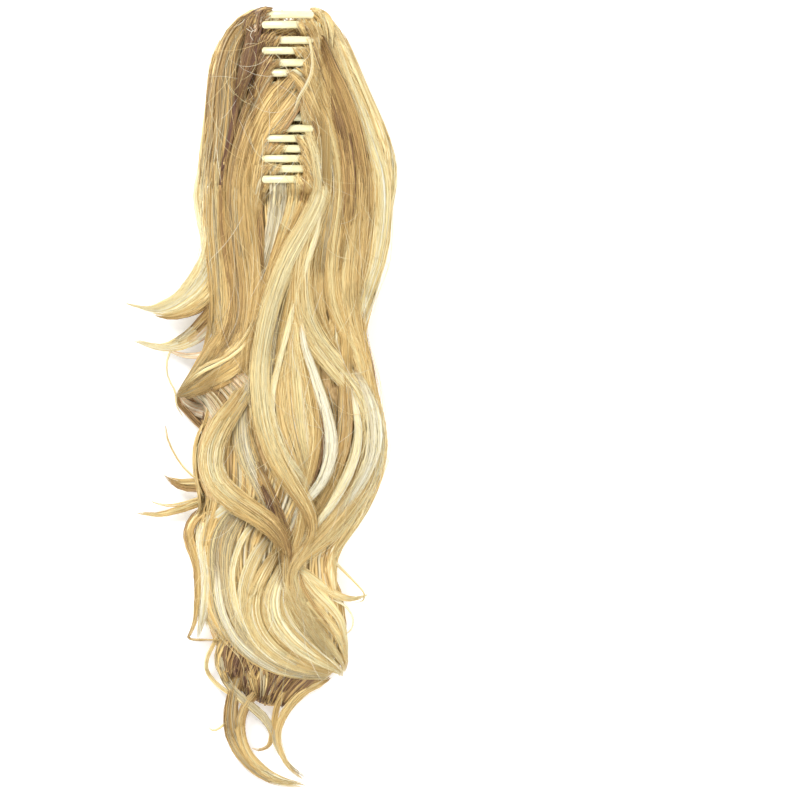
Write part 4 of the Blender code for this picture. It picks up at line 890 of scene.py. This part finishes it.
# the edges of both jaws, the lining inside them in the dark colours of painted shade, and loose hair between the teeth
for side in (-1, 1):
    piece = "claw_left" if side < 0 else "claw_right"
    edge = CLAW_X + side * 30
    for i in range(120):
        band = i < 70
        t = np.linspace(0, 1, 8)
        y0 = 10 + 176 * (i % 70 + RNG.uniform(0, 1)) / 70
        x = edge + side * (-9 + RNG.uniform(16, 22) * t)
        y = y0 + RNG.uniform(14, 46) * t ** 1.2
        z = 50.5 + 6.5 * np.minimum(t, 0.4) + (0 if band else RNG.uniform(0.3, 1.2))
        z = z + (height_at(x, y) - 1.5 - z) * smoothstep((t - 0.4) / 0.6)
        z = z - 5 * smoothstep((y - 179) / 8)  # below the last tooth they pass under the hair
        normals = np.tile([0.0, 0.0, 1.0], (len(t), 1)) if band else None
        # painted shade: the left jaw's edge takes the groove's dark colours beside the groove
        mix = ("groove" if 20 < y0 < 75 else "roots") if side < 0 and y0 < 110 else "rootg"
        lay(piece, x, y, z, (RNG.uniform(1.2, 1.8) if band else RNG.uniform(0.14, 0.26)) * ends(t, 0.35, 0.1, 0.5),
            pick_colours(mix, 1)[0], normals)
    grow_lock(piece, (
        (edge - side * 4, 13, 4, 49), (edge - side * 4, 60, 5, 47), (edge - side * 4, 110, 5, 47),
        (edge - side * 4, 160, 5, 47), (edge - side * 4, 186, 5, 44)), 40, "hollow", 1.0, absolute=True, spread=0.2)
    for u, w in ((17.6, 18.0), (15.6, 12.0), (12.4, 8.6), (8.8, 7.4), (4.5, 7.4), (1.2, 7.6)):
        x = CLAW_X + side * u / UMM
        drift = RNG.normal(0, 1.5, 5)
        grow_lock(piece, [(x + drift[k], y, 3.4, HINGE_Z + w) for k, y in enumerate((14, 60, 110, 160, 186))], 18,
                  "hollow" if u > 10 else "brown", 0.8, absolute=True, spread=0.15, thick=(0.25, 0.4), bands=3)
    if side > 0:
        grow_lock(piece, ((298, 104, 4, 56), (297.5, 118, 5, 56.5), (297, 130, 7, 54), (296, 150, 7, 52.5), (297, 170, 7, 52.5), (296, 188, 6, 51)),
                  36, "brown", 1.0, absolute=True, spread=0.2, bands=6)
    # hair that slants across under the teeth, partly in the dark colours of painted shade
    for i in range(140):
        y0 = RNG.uniform(14, 176)
        t = np.linspace(0, 1, 6)
        x = CLAW_X + side * (-8 + RNG.uniform(34, 44) * t)
        y = y0 + (RNG.uniform(10, 40)) * t ** 1.3 + RNG.normal(0, 2)
        z = 55.5 - 4.5 * t ** 2 + RNG.uniform(-3.5, 2.5)
        draw = RNG.random()
        mix = "brown" if draw < 0.4 else ("hollow" if draw < 0.65 else "honey")
        lay(piece, x, y, z, RNG.uniform(0.16, 0.5) * ends(t), pick_colours(mix, 1)[0])

# the deep groove left of the claw, its dark strands painted shade, with fine hairs across it
grow_lock("claw_left", (
    (264, 19, 3, 4), (258, 28, 7, 5.5), (255, 40, 9, 7), (252, 54, 9, 7.5), (248, 68, 7.5, 7.5), (243, 82, 5.5, 7.5), (240, 96, 3, 6.5),
    (236, 112, 1.5, 5)), 140, "groove", 1.2, tips=0.4, wiggle=1.4)
grow_lock("claw_left", (
    (249, 44, 2, 2), (254, 32, 3, 4), (262, 23, 4, 6), (269, 18, 4, 8), (275, 15, 3, 8)), 6, "peach", 1.0, mode="comb")
for i in range(18):
    x0, y0 = RNG.uniform(238, 266), RNG.uniform(18, 105)
    angle = RNG.uniform(-0.9, 0.9) + (0.8 if RNG.random() < 0.5 else 2.4)
    length = RNG.uniform(14, 34)
    t = np.linspace(0, 1, 6)
    x = x0 + length * np.cos(angle) * t + RNG.normal(0, 3) * np.sin(np.pi * t)
    y = y0 + length * np.sin(angle) * t + RNG.normal(0, 3) * np.sin(np.pi * t)
    lay("claw_left", x, y, np.maximum(height_at(x, y), 50) + RNG.uniform(2, 6), RNG.uniform(0.09, 0.14) * ends(t),
        pick_colours("stray", 1)[0])
# sewing thread
for rows in (((250, 28, 56), (253, 32, 57), (251, 37, 57), (254, 42, 56)), ((247, 30, 55), (252, 33, 57), (256, 31, 57))):
    p = spline(rows, 4)
    lay("claw_left", p[:, 0], p[:, 1], p[:, 2], np.full(len(p), 0.2), STRIP["white"])
# the thin pale strand that falls over the teeth
for i in range(9):
    p = spline(((309, 38, 67), (312, 56, 69), (312, 73, 70), (306, 88, 71), (299, 100, 72), (294, 117, 70)), 4)
    t = np.linspace(0, 1, len(p))
    shift = RNG.normal(0, 0.8, 2)
    lay("right_in", p[:, 0] + shift[0], p[:, 1] + shift[1], p[:, 2] + RNG.uniform(-1, 1), RNG.uniform(0.14, 0.2) * ends(t),
        pick_colours("pale", 1)[0])

# ---------------------------------------------------------------- the layer beneath, on every side
# plan y, left edge, right edge, height mm: the whole form's outline
BODY = (
    (9, 270, 308, 24), (12, 262, 316, 30), (20, 238, 327, 40), (40, 222, 338, 46), (66, 213, 348, 48), (88, 209, 357, 49),
    (117, 207, 368, 49), (139, 205, 377, 49), (161, 204, 385, 48), (185, 203, 390, 47), (210, 205, 390, 46),
    (237, 211, 388, 45), (265, 215, 384, 44), (295, 217, 372, 43), (320, 218, 366, 42), (340, 213, 362, 41),
    (367, 206, 366, 40), (395, 205, 373, 39), (420, 208, 381, 38), (440, 204, 384, 36), (460, 201, 382, 35),
    (480, 203, 375, 34), (500, 208, 366, 33), (520, 198, 352, 31), (540, 194, 335, 30), (560, 198, 326, 30),
    (580, 200, 334, 32), (600, 201, 342, 33), (620, 210, 344, 33), (640, 228, 344, 30), (655, 244, 343, 26),
    (668, 250, 336, 20), (684, 248, 312, 16), (700, 254, 284, 12), (708, 262, 276, 9),
)


def grow_shell(n, band):
    """Hair all round the form: each strand runs the length of it at one angle, drawn onto the solid's surface."""
    body = np.array(BODY, float)
    ys = np.linspace(9, 708, 240)
    k = np.vstack([even_smooth(np.interp(ys, body[:, 0], body[:, i]), 3) for i in (1, 2, 3)])
    for i in range(n):
        angle = (360.0 * (i + RNG.uniform(-0.5, 0.5)) / n) % 360.0
        top = 35 < angle < 145
        if (top and RNG.random() < (0.1 if band else 0.75)) or (angle > 200 and angle < 340 and not band and RNG.random() < 0.4):
            continue
        low = top and RNG.random() < 0.5
        a = math.radians(angle)
        ca, sa = math.cos(a), math.sin(a)
        fx = math.copysign(abs(ca) ** 0.8, ca)
        fz = math.copysign(abs(sa) ** 0.8, sa)
        y0 = RNG.uniform(9, 13) if band else RNG.uniform(10, 320)
        y1 = RNG.uniform(640, 708) if band else min(y0 + RNG.uniform(180, 420), 700)
        if top:
            y0 = max(y0, RNG.uniform(184, 198)) if abs(fx) < 0.66 else y0
            y0, y1 = (RNG.uniform(360, 400), RNG.uniform(640, 700)) if low else (y0, RNG.uniform(370, 410))
            if y1 < y0 + 60:
                continue
        y = np.linspace(y0, y1, max(int((y1 - y0) / (17 if band else 20)), 4))
        xl, xr, h = (np.interp(y, ys, c) for c in k)
        middle, half = (xl + xr) / 2, (xr - xl) / 2
        swing = RNG.normal(0, 1.6) * np.sin(y / RNG.uniform(30, 60) + RNG.uniform(0, 6.28))
        x = middle + half * fx + swing * (0.3 + 0.7 * (1 - abs(fx)))
        z = h / 2 + h / 2 * fz + RNG.normal(0, 1.0) * np.sin(y / RNG.uniform(25, 50) + RNG.uniform(0, 6.28)) * (fz > -0.6)
        if fz > 0:
            z = np.minimum(z, height_at(x, y) + 3)
        points, normals = [], []
        for px, py, pz in zip(x, y, z):
            found, normal, _, _ = BODY_TREE.find_nearest(place(px, py, pz))
            out = 0.5 if band else 1.25
            found = found + normal * out * MM
            points.append((found.x, found.y, found.z))
            normals.append(normal[:])
        points, normals = np.array(points), np.array(normals)
        for col in range(3):
            points[:, col] = np.convolve(np.pad(points[:, col], 1, mode="edge"), [0.25, 0.5, 0.25], "valid")
        for _ in range(2):
            normals = np.vstack([np.convolve(np.pad(normals[:, c], 1, mode="edge"), [0.25, 0.5, 0.25], "valid") for c in range(3)]).T
        x, y, z = points[:, 0] / UNIT + X0, Y0 - points[:, 1] / UNIT, points[:, 2] / MM
        inside = (np.abs(x - CLAW_X) < 31) & (y < 187) & (z > 12)
        if inside.any():
            keep = np.nonzero(inside)[0][-1] + 1
            x, y, z, normals = x[keep:], y[keep:], z[keep:], normals[keep:]
            if len(x) < 4:
                continue
        t = np.linspace(0, 1, len(x))
        warm = math.sin(3 * a + 1.0) + RNG.normal(0, 0.6)
        mix = "left" if fx < -0.35 and fz > -0.5 else ("sunny" if warm > 0.5 else ("gold" if warm > -0.6 else "honey"))
        if low:
            mix = ("brown", "honey", "ash")[RNG.integers(3)]
        tone = pick_colours(mix, 1)[0]
        radii = (RNG.uniform(1.1, 1.7) if band else RNG.uniform(0.2, 0.38)) * ends(t, 0.02 if top else 0.5, 0.2, 0.85)
        right = fx > (0.3 if fz > -0.2 else 0.02)
        lay("shell_right" if right else "shell", x, y, z, radii, tone, normals if band else None, np.linspace(0.12, 0.985, len(x)))


grow_shell(460, True)
grow_shell(400, False)


def snapped(x, y, z, out):
    """Points drawn onto the solid's surface and a little out from it; x, y, z on the plan grid, and the normals."""
    points, normals = [], []
    for px, py, pz, o in zip(x, y, z, out):
        found, normal, _, _ = BODY_TREE.find_nearest(place(px, py, pz))
        found = found + normal * o * MM
        points.append((found.x, found.y, found.z))
        normals.append(normal[:])
    points, normals = np.array(points), np.array(normals)
    for col in range(3):
        points[:, col] = np.convolve(np.pad(points[:, col], 1, mode="edge"), [0.25, 0.5, 0.25], "valid")
        normals[:, col] = np.convolve(np.pad(normals[:, col], 2, mode="edge"), [0.1, 0.2, 0.4, 0.2, 0.1], "valid")
    return points[:, 0] / UNIT + X0, Y0 - points[:, 1] / UNIT, points[:, 2] / MM, normals


def grow_side_lock(mix, n, y0, y1, degrees, sway, period, width, depth):
    """A wavy lock along a side of the form; degrees round the form from its right side, upwards."""
    body = np.array(BODY, float)
    phase = RNG.uniform(0, 6.28)
    for i in range(n):
        a = RNG.uniform(-1, 1)
        band = i < 6
        ya, yb = y0 + RNG.uniform(0, 0.15) * (y1 - y0), y1 - RNG.uniform(0, 0.2) * (y1 - y0)
        y = np.linspace(ya, yb, max(int((yb - ya) / 14), 5))
        t = (y - y0) / (y1 - y0)
        taper = np.minimum(1, 0.35 + 4 * t) * (1 - 0.8 * smoothstep((t - 0.6) / 0.4))
        angle = np.radians(degrees + sway * np.sin(y / period + phase) + a * width * taper + RNG.normal(0, 1.0) * np.sin(y / 30 + i))
        xl, xr, h = (np.interp(y, body[:, 0], body[:, c]) for c in (1, 2, 3))
        x = (xl + xr) / 2 + (xr - xl) / 2 * np.sign(np.cos(angle)) * np.abs(np.cos(angle)) ** 0.8
        z = h / 2 + h / 2 * np.sign(np.sin(angle)) * np.abs(np.sin(angle)) ** 0.8
        rise = depth * taper * math.sqrt(1 - a * a) * (0.6 if band else RNG.uniform(0.7, 1.1)) + 0.9
        x, y, z, normals = snapped(x, y, z, rise)
        t = np.linspace(0, 1, len(x))
        radii = (width * 0.14 if band else RNG.uniform(0.16, 0.3)) * ends(t)
        right = math.cos(math.radians(degrees)) > 0
        lay("shell_right" if right else "shell", x, y, z, radii, pick_colours(mix, 1)[0], normals if band else None)


for mix, y0, y1, degrees, sway, period, width, depth in (
        ("gold", 30, 330, 178, 14, 46, 10, 2.5), ("left", 60, 380, 160, 12, 52, 9, 2.5), ("sunny", 90, 420, 196, 14, 50, 9, 2.5),
        ("honey", 180, 520, 172, 14, 44, 10, 3.0), ("gold", 280, 600, 190, 14, 42, 9, 3.0),
        ("honey", 392, 580, 152, 5, 40, 13, 1.8), ("left", 400, 590, 170, 5, 40, 13, 1.8), ("honey", 410, 600, 186, 5, 40, 12, 1.8), ("pale", 400, 660, 176, 12, 40, 8, 2.5),
        ("sunny", 30, 320, 2, 14, 46, 10, 2.5), ("gold", 70, 360, 344, 12, 50, 9, 2.5), ("pale", 120, 420, 12, 12, 52, 8, 2.5),
        ("honey", 220, 540, 356, 14, 44, 10, 3.0), ("gold", 320, 620, 8, 14, 40, 9, 3.0), ("sunny", 420, 660, 350, 12, 38, 9, 2.5)):
    grow_side_lock(mix, 26, y0, y1, degrees, sway, period, width, depth)

# hair that comes from the jaws over the lobes' ends and down their sides, and on the faces between the lobes
OUTLINE_Y = (9, 12, 18, 30, 47, 66, 88, 117, 150)
OUTLINE = {-1: (268, 256, 241, 230, 221, 212, 208, 206, 204), 1: (308, 318, 325, 334, 341, 348, 357, 369, 381)}
for i in range(460):
    band = i % 2 == 0
    side = -1 if i % 4 < 2 else 1
    z0 = RNG.uniform(3, 47)
    inner = RNG.uniform(0, 1) < 0.34
    if inner:
        y = np.linspace(RNG.uniform(8, 13), RNG.uniform(90, 170), 8)
        x = np.full(8, CLAW_X + side * 6.0)
        z = np.full(8, min(z0, 23)) + RNG.normal(0, 1.5, 8)
    else:
        deep = RNG.uniform(0, 1) ** 1.5
        y = np.concatenate([[9.5, 9.5], np.array(OUTLINE_Y[1:])[: RNG.integers(5, 9)]])
        edge = np.interp(y, OUTLINE_Y, OUTLINE[side])
        x = edge + side * 3
        x[:2] = CLAW_X + side * np.array([RNG.uniform(20, 24), 29])
        x = x * (1 - 0.25 * deep) + (CLAW_X + side * 22) * 0.25 * deep
        y = y + np.array([0, 0] + list(6 * deep * np.ones(len(y) - 2)))
        z = z0 + (np.linspace(0, 1, len(y)) * RNG.uniform(-9, 4))
    x, y, z, normals = snapped(x, y, z, np.full(len(x), 0.7 if band else 1.25))
    if ((np.abs(x - CLAW_X) < 31) & (z > 44)).any():
        continue
    mix = ("left", "honey", "gold")[RNG.integers(3)] if side < 0 else ("gold", "honey", "sunny")[RNG.integers(3)]
    # painted shade: strands on the faces between the lobes take dark colours
    mix = "hollow" if inner else mix
    t = np.linspace(0, 1, len(x))
    lay("shell" if side < 0 else "shell_right", x, y, z, (RNG.uniform(1.1, 1.7) if band else RNG.uniform(0.15, 0.3)) * ends(t, 0.5),
        pick_colours(mix, 1)[0], normals if band else None, np.linspace(0.05, 0.985, len(x)))

# the outer side of the left curl, below its lock
for i in range(76):
    band = i < 30
    y = np.linspace(RNG.uniform(408, 426), RNG.uniform(496, 520), 9)
    z = RNG.uniform(13, 37) + RNG.uniform(-5, 3) * np.linspace(0, 1, 9) + RNG.normal(0, 0.8, 9)
    x, y, z, normals = snapped(np.full(9, 188.0), y, z, np.full(9, 0.6 if band else 1.2))
    t = np.linspace(0, 1, len(x))
    lay("shell", x, y, z, (RNG.uniform(1.1, 1.6) if band else RNG.uniform(0.15, 0.3)) * ends(t),
        pick_colours(("honey", "left", "gold")[RNG.integers(3)], 1)[0], normals if band else None, np.linspace(0.05, 0.985, len(x)))

# ---------------------------------------------------------------- loose fine hairs over everything
for i in range(300):
    body = np.array(BODY, float)
    y0 = RNG.uniform(30, 640)
    xl, xr = np.interp(y0, body[:, 0], body[:, 1]), np.interp(y0, body[:, 0], body[:, 2])
    x0 = RNG.uniform(xl - 1, xr + 1)
    length = RNG.uniform(30, 95)
    angle = math.pi / 2 + RNG.normal(0, 0.5)
    turn = RNG.normal(0, 0.9)
    t = np.linspace(0, 1, 9)
    heading = angle + turn * t
    step = length / 8
    x = x0 + np.concatenate([[0], np.cumsum(np.cos(heading[:-1]) * step)])
    y = y0 + np.concatenate([[0], np.cumsum(np.sin(heading[:-1]) * step)])
    near_left, near_right = np.interp(y, body[:, 0], body[:, 1]) - 6, np.interp(y, body[:, 0], body[:, 2]) + 6
    x = np.clip(x, near_left, near_right)
    z = height_at(x, y) + 4.5 + RNG.uniform(0, 2.5) + 2.0 * np.sin(np.pi * t)
    in_claw = (abs(x0 - CLAW_X) < 40) & (y0 < 190)
    if in_claw:
        z = np.maximum(z, 70 + RNG.uniform(0, 2) - 14 * np.clip((np.abs(x - CLAW_X) - 22) / 25, 0, 1))
    over_right = x0 > CLAW_X and y0 < 230
    lay("right_in" if over_right else "fly", x, y, z, RNG.uniform(0.09, 0.15) * ends(t), pick_colours("stray", 1)[0])


# ---------------------------------------------------------------- strands to meshes
def hair_mesh(name, strands):
    """One mesh of closed three-sided tubes. The map's strips run across the colours and along the strands."""
    co, corners, starts, uvs = [], [], [], []
    base, loops = 0, 0
    spin = RNG.uniform(0, 2 * math.pi, len(strands))
    for i, (p, r, tone, sub, v, normals) in enumerate(strands):
        n = len(p)
        tangent = np.gradient(p, axis=0)
        tangent /= np.linalg.norm(tangent, axis=1)[:, None] + 1e-12
        aim = np.tile([0.0, 0.0, 1.0], (n, 1)) if normals is None else normals
        side = np.cross(tangent, aim)
        side /= np.maximum(np.linalg.norm(side, axis=1), 1e-6)[:, None]
        up = np.cross(side, tangent)
        ring = np.empty((n, 3, 3))
        for k in range(3):
            if normals is None:
                a = spin[i] + k * 2 * math.pi / 3
                c, s = math.cos(a), math.sin(a)
            else:
                c, s = ((-1.0, -0.10), (0.0, 0.26), (1.0, -0.10))[k]
            ring[:, k] = p + (side * c + up * s) * r[:, None]
        co.append(ring.reshape(-1, 3))
        idx = base + 3 * np.arange(n - 1)[:, None]
        cell = 1.0 / (len(STRIPS) * SUB)
        u_mid, half = (tone * SUB + sub + 0.5) * cell, 0.42 * cell
        marks = (u_mid - half, u_mid, u_mid + half)
        for k in range(3):
            k2 = (k + 1) % 3
            if normals is None:
                quad = np.hstack([idx + k, idx + k + 3, idx + k2 + 3, idx + k2])
                u0, u1 = u_mid + half * (2 * k / 3 - 1), u_mid + half * (2 * (k + 1) / 3 - 1)
            else:
                quad = np.hstack([idx + k2, idx + k2 + 3, idx + k + 3, idx + k])
                u0, u1 = marks[k2], marks[k]
            corners.append(quad.ravel())
            uv = np.empty((n - 1, 4, 2))
            uv[:, 0] = np.column_stack([np.full(n - 1, u0), v[:-1]])
            uv[:, 1] = np.column_stack([np.full(n - 1, u0), v[1:]])
            uv[:, 2] = np.column_stack([np.full(n - 1, u1), v[1:]])
            uv[:, 3] = np.column_stack([np.full(n - 1, u1), v[:-1]])
            uvs.append(uv.reshape(-1, 2))
            starts.append(loops + 4 * np.arange(n - 1))
            loops += 4 * (n - 1)
        last = base + 3 * (n - 1)
        caps = ((base, base + 1, base + 2), (last, last + 2, last + 1))
        if normals is not None:
            caps = ((base, base + 2, base + 1), (last, last + 1, last + 2))
        for tri, vv in zip(caps, (v[0] - 0.008, v[-1] + 0.008)):
            corners.append(np.array(tri))
            uvs.append(np.array([(u_mid - half, vv), (u_mid + half, vv), (u_mid, vv + 0.004)]))
            starts.append(np.array([loops]))
            loops += 3
        base += 3 * n
    co = np.vstack(co).astype(np.float32)
    corners = np.concatenate(corners).astype(np.int32)
    starts = np.concatenate(starts).astype(np.int32)
    uvs = np.vstack(uvs).astype(np.float32)
    me = bpy.data.meshes.new(name)
    me.vertices.add(len(co))
    me.vertices.foreach_set("co", co.ravel())
    me.loops.add(len(corners))
    me.loops.foreach_set("vertex_index", corners)
    me.polygons.add(len(starts))
    me.polygons.foreach_set("loop_start", starts)
    layer = me.uv_layers.new(name="OFBake")
    layer.uv.foreach_set("vector", uvs.ravel())
    me.update(calc_edges=True)
    me.validate()
    me.shade_smooth()
    obj = bpy.data.objects.new(name, me)
    bpy.context.scene.collection.objects.link(obj)
    return obj


# ---------------------------------------------------------------- materials
def linear(rgb):
    out = []
    for c in rgb:
        c /= 255.0
        out.append(c / 12.92 if c <= 0.04045 else ((c + 0.055) / 1.055) ** 2.4)
    return (*out, 1.0)


def new_material(name):
    mat = bpy.data.materials.new(name)
    mat.use_nodes = True
    nt = mat.node_tree
    return mat, nt, nt.nodes["Principled BSDF"]


def node(nt, kind, **values):
    n = nt.nodes.new(kind)
    for key, value in values.items():
        setattr(n, key, value)
    return n


def hair_material():
    mat, nt, shader = new_material("hair_strands")
    uv = node(nt, "ShaderNodeUVMap", uv_map="OFBake")
    split = node(nt, "ShaderNodeSeparateXYZ")
    nt.links.new(uv.outputs["UV"], split.inputs[0])
    ramp = node(nt, "ShaderNodeValToRGB")
    ramp.color_ramp.interpolation = "CONSTANT"
    stops = ramp.color_ramp.elements
    while len(stops) > 1:
        stops.remove(stops[-1])
    stops[0].position, stops[0].color = 0.0, linear(STRIPS[0][1])
    for i, (_, rgb) in enumerate(STRIPS[1:], 1):
        stop = stops.new(i / len(STRIPS))
        stop.color = linear(rgb)
    nt.links.new(split.outputs["X"], ramp.inputs["Fac"])
    # tone that wanders across the strips, as fine hairs in the flat bands, and along the strands
    stretch = node(nt, "ShaderNodeMapping")
    stretch.inputs["Scale"].default_value = (1300.0, 6.0, 1.0)
    nt.links.new(uv.outputs["UV"], stretch.inputs["Vector"])
    noise = node(nt, "ShaderNodeTexNoise", noise_dimensions="2D")
    noise.inputs["Scale"].default_value = 1.0
    noise.inputs["Detail"].default_value = 2.0
    nt.links.new(stretch.outputs["Vector"], noise.inputs["Vector"])
    shade = node(nt, "ShaderNodeMapRange")
    for key, value in (("From Min", 0.3), ("From Max", 0.7), ("To Min", 0.89), ("To Max", 1.045)):
        shade.inputs[key].default_value = value
    nt.links.new(noise.outputs["Fac"], shade.inputs["Value"])
    # roots: darker and redder
    root = node(nt, "ShaderNodeValToRGB")
    e = root.color_ramp.elements
    e[0].position, e[0].color = 0.0, (0.70, 0.60, 0.52, 1)
    e[1].position, e[1].color = 0.10, (1, 1, 1, 1)
    nt.links.new(split.outputs["Y"], root.inputs["Fac"])
    tint = node(nt, "ShaderNodeMix", data_type="RGBA", blend_type="MULTIPLY")
    tint.inputs["Factor"].default_value = 1.0
    nt.links.new(ramp.outputs["Color"], tint.inputs["A"])
    nt.links.new(root.outputs["Color"], tint.inputs["B"])
    level = node(nt, "ShaderNodeMix", data_type="RGBA", blend_type="MULTIPLY")
    level.inputs["Factor"].default_value = 1.0
    nt.links.new(tint.outputs["Result"], level.inputs["A"])
    grey = node(nt, "ShaderNodeCombineColor")
    for k in range(3):
        nt.links.new(shade.outputs["Result"], grey.inputs[k])
    nt.links.new(grey.outputs["Color"], level.inputs["B"])
    nt.links.new(level.outputs["Result"], shader.inputs["Base Color"])
    shader.inputs["Roughness"].default_value = 0.40
    shader.inputs["Specular IOR Level"].default_value = 0.4
    return mat


def noise_colour(name, scale, low, high, roughness, stretch=(1, 1, 1), metallic=0.0, edges=(0.35, 0.65)):
    """A material whose colour wanders between two."""
    mat, nt, shader = new_material(name)
    where = node(nt, "ShaderNodeTexCoord")
    mapping = node(nt, "ShaderNodeMapping")
    mapping.inputs["Scale"].default_value = stretch
    nt.links.new(where.outputs["Object"], mapping.inputs["Vector"])
    noise = node(nt, "ShaderNodeTexNoise")
    noise.inputs["Scale"].default_value = scale
    noise.inputs["Detail"].default_value = 3.0
    nt.links.new(mapping.outputs["Vector"], noise.inputs["Vector"])
    ramp = node(nt, "ShaderNodeValToRGB")
    e = ramp.color_ramp.elements
    e[0].position, e[0].color = edges[0], low
    e[1].position, e[1].color = edges[1], high
    nt.links.new(noise.outputs["Fac"], ramp.inputs["Fac"])
    nt.links.new(ramp.outputs["Color"], shader.inputs["Base Color"])
    shader.inputs["Roughness"].default_value = roughness
    shader.inputs["Metallic"].default_value = metallic
    return mat, shader


HAIR = hair_material()
CORE, _ = noise_colour("hair_core", 1.0, linear((190, 154, 102)), linear((232, 200, 142)), 0.6, (1500.0, 30.0, 1500.0))
PLASTIC, plastic = noise_colour("cream_plastic", 60.0, linear((224, 217, 172)), linear((238, 232, 192)), 0.25)
plastic.inputs["Subsurface Weight"].default_value = 0.25
plastic.inputs["Subsurface Radius"].default_value = (1.0, 0.9, 0.5)
plastic.inputs["Subsurface Scale"].default_value = 0.002
STEEL, _ = noise_colour("spring_steel", 900.0, (0.50, 0.50, 0.52, 1), (0.66, 0.66, 0.68, 1), 0.3, metallic=1.0)


def paint(obj, mat):
    obj.data.materials.clear()
    obj.data.materials.append(mat)


for name in ("jaw_left", "jaw_right"):
    paint(nodes[name], PLASTIC)
    nodes[name].data.shade_smooth()
for name in ("hinge_pin", "spring"):
    paint(nodes[name], STEEL)


# ---------------------------------------------------------------- the core
def core_piece(name, source, inset):
    """The hair solid drawn in by the inset, as the dense hair beneath the strands."""
    me = nodes[source].data.copy()
    me.name = name
    bm = bmesh.new()
    bm.from_mesh(me)
    bmesh.ops.remove_doubles(bm, verts=bm.verts, dist=1e-6)
    bm.normal_update()
    moves = [v.co - v.normal * inset for v in bm.verts]
    for v, co in zip(bm.verts, moves):
        v.co = co
        v.co.z = max(v.co.z, 0.0009)
    for _ in range(2):
        bmesh.ops.smooth_vert(bm, verts=bm.verts, factor=0.4, use_axis_x=True, use_axis_y=True, use_axis_z=True)
    bm.to_mesh(me)
    bm.free()
    for layer in list(me.uv_layers):
        me.uv_layers.remove(layer)
    obj = bpy.data.objects.new(name, me)
    bpy.context.scene.collection.objects.link(obj)
    me.shade_smooth()
    paint(obj, CORE)
    return obj


core_left = core_piece("core_left", "hair_left", 0.0012)
core_right = core_piece("core_right", "hair_right", 0.0012)
core_tail = core_piece("core_tail", "tail", 0.0012)

# ---------------------------------------------------------------- pieces and what they ride on
LIMIT = 185000  # triangles in a piece


def triangles(strand):
    return 6 * (len(strand[0]) - 1) + 2


made = {}
for name, strands in PILES.items():
    batches, count = [[]], 0
    for strand in strands:
        if count + triangles(strand) > LIMIT:
            batches.append([])
            count = 0
        batches[-1].append(strand)
        count += triangles(strand)
    made[name] = [hair_mesh(f"strands_{name}_{i}", batch) for i, batch in enumerate(batches)]
    print("strands", name, len(strands), sum(map(triangles, strands)), len(batches))
print("triangles", sum(triangles(s) for strands in PILES.values() for s in strands))


def claw_spot(u_mm, v_mm, w_mm):
    """u right of the hinge, v from the claw's end, w above the hinge, in mm, as a point in metres."""
    end = place(CLAW_X, CLAW_TOP, 0)
    return (end.x + u_mm * MM, end.y - v_mm * MM, (HINGE_Z + w_mm) * MM)


BLENDS = {
    "right_in": (claw_spot(10, 50, 0), claw_spot(45, 165, 0)),
    "right_out": (claw_spot(16, 0, 0), claw_spot(46, 0, 0)),
    "shell_right": (claw_spot(16, 0, 0), claw_spot(46, 0, 0)),
    "claw_right": (claw_spot(16, 0, 0), claw_spot(46, 0, 0)),
}
for name, pieces in made.items():
    for obj in pieces:
        paint(obj, HAIR)
        if name in BLENDS:
            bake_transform(obj)
        else:
            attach(obj, ROOT)

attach(core_left, ROOT)
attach(core_tail, ROOT)
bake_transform(core_right)

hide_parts("hair_left")
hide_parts("hair_right")
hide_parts("tail")
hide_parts(*SIDE_NODES)

# ---------------------------------------------------------------- floor, light, camera
floor_mesh = bpy.data.meshes.new("floor")
bm = bmesh.new()
bmesh.ops.create_grid(bm, x_segments=1, y_segments=1, size=20.0)
bm.to_mesh(floor_mesh)
bm.free()
floor = bpy.data.objects.new("floor", floor_mesh)
bpy.context.scene.collection.objects.link(floor)
floor_mat, _, floor_shader = new_material("floor_white")
floor_shader.inputs["Base Color"].default_value = (0.93, 0.93, 0.93, 1)
floor_shader.inputs["Roughness"].default_value = 0.9
floor_shader.inputs["Specular IOR Level"].default_value = 0.1
floor_shader.inputs["Emission Color"].default_value = (1, 1, 1, 1)
floor_shader.inputs["Emission Strength"].default_value = 0.25
paint(floor, floor_mat)

world = bpy.data.worlds.new("studio")
bpy.context.scene.world = world
world.use_nodes = True
world.node_tree.nodes["Background"].inputs["Color"].default_value = (1.0, 1.0, 1.0, 1)
world.node_tree.nodes["Background"].inputs["Strength"].default_value = 0.92


def area_light(name, location, aim, size, watts, colour=(1, 1, 1)):
    data = bpy.data.lights.new(name, "AREA")
    data.shape = "SQUARE"
    data.size = size
    data.energy = watts
    data.color = colour
    obj = bpy.data.objects.new(name, data)
    bpy.context.scene.collection.objects.link(obj)
    obj.location = location
    obj.rotation_mode = "QUATERNION"
    obj.rotation_quaternion = (Vector(aim) - Vector(location)).to_track_quat("-Z", "Y")
    return obj


area_light("key", (-0.7, 0.9, 1.4), (0, 0, 0), 0.6, 20)
area_light("fill", (0.9, -0.2, 1.6), (0, 0, 0), 1.2, 10)

scene = bpy.context.scene
scene.view_settings.view_transform = "Standard"
camera_data = bpy.data.cameras.new("camera")
camera = bpy.data.objects.new("camera", camera_data)
scene.collection.objects.link(camera)
AWAY = 6.0
camera_data.sensor_width = 36.0
camera_data.lens = 36.0 * AWAY / (800 * UNIT)
camera_data.clip_start, camera_data.clip_end = 0.1, 100.0
camera.location = ((400 - X0) * UNIT, (Y0 - 400) * UNIT, AWAY + 0.03)
scene.camera = camera

bpy.context.view_layer.update()
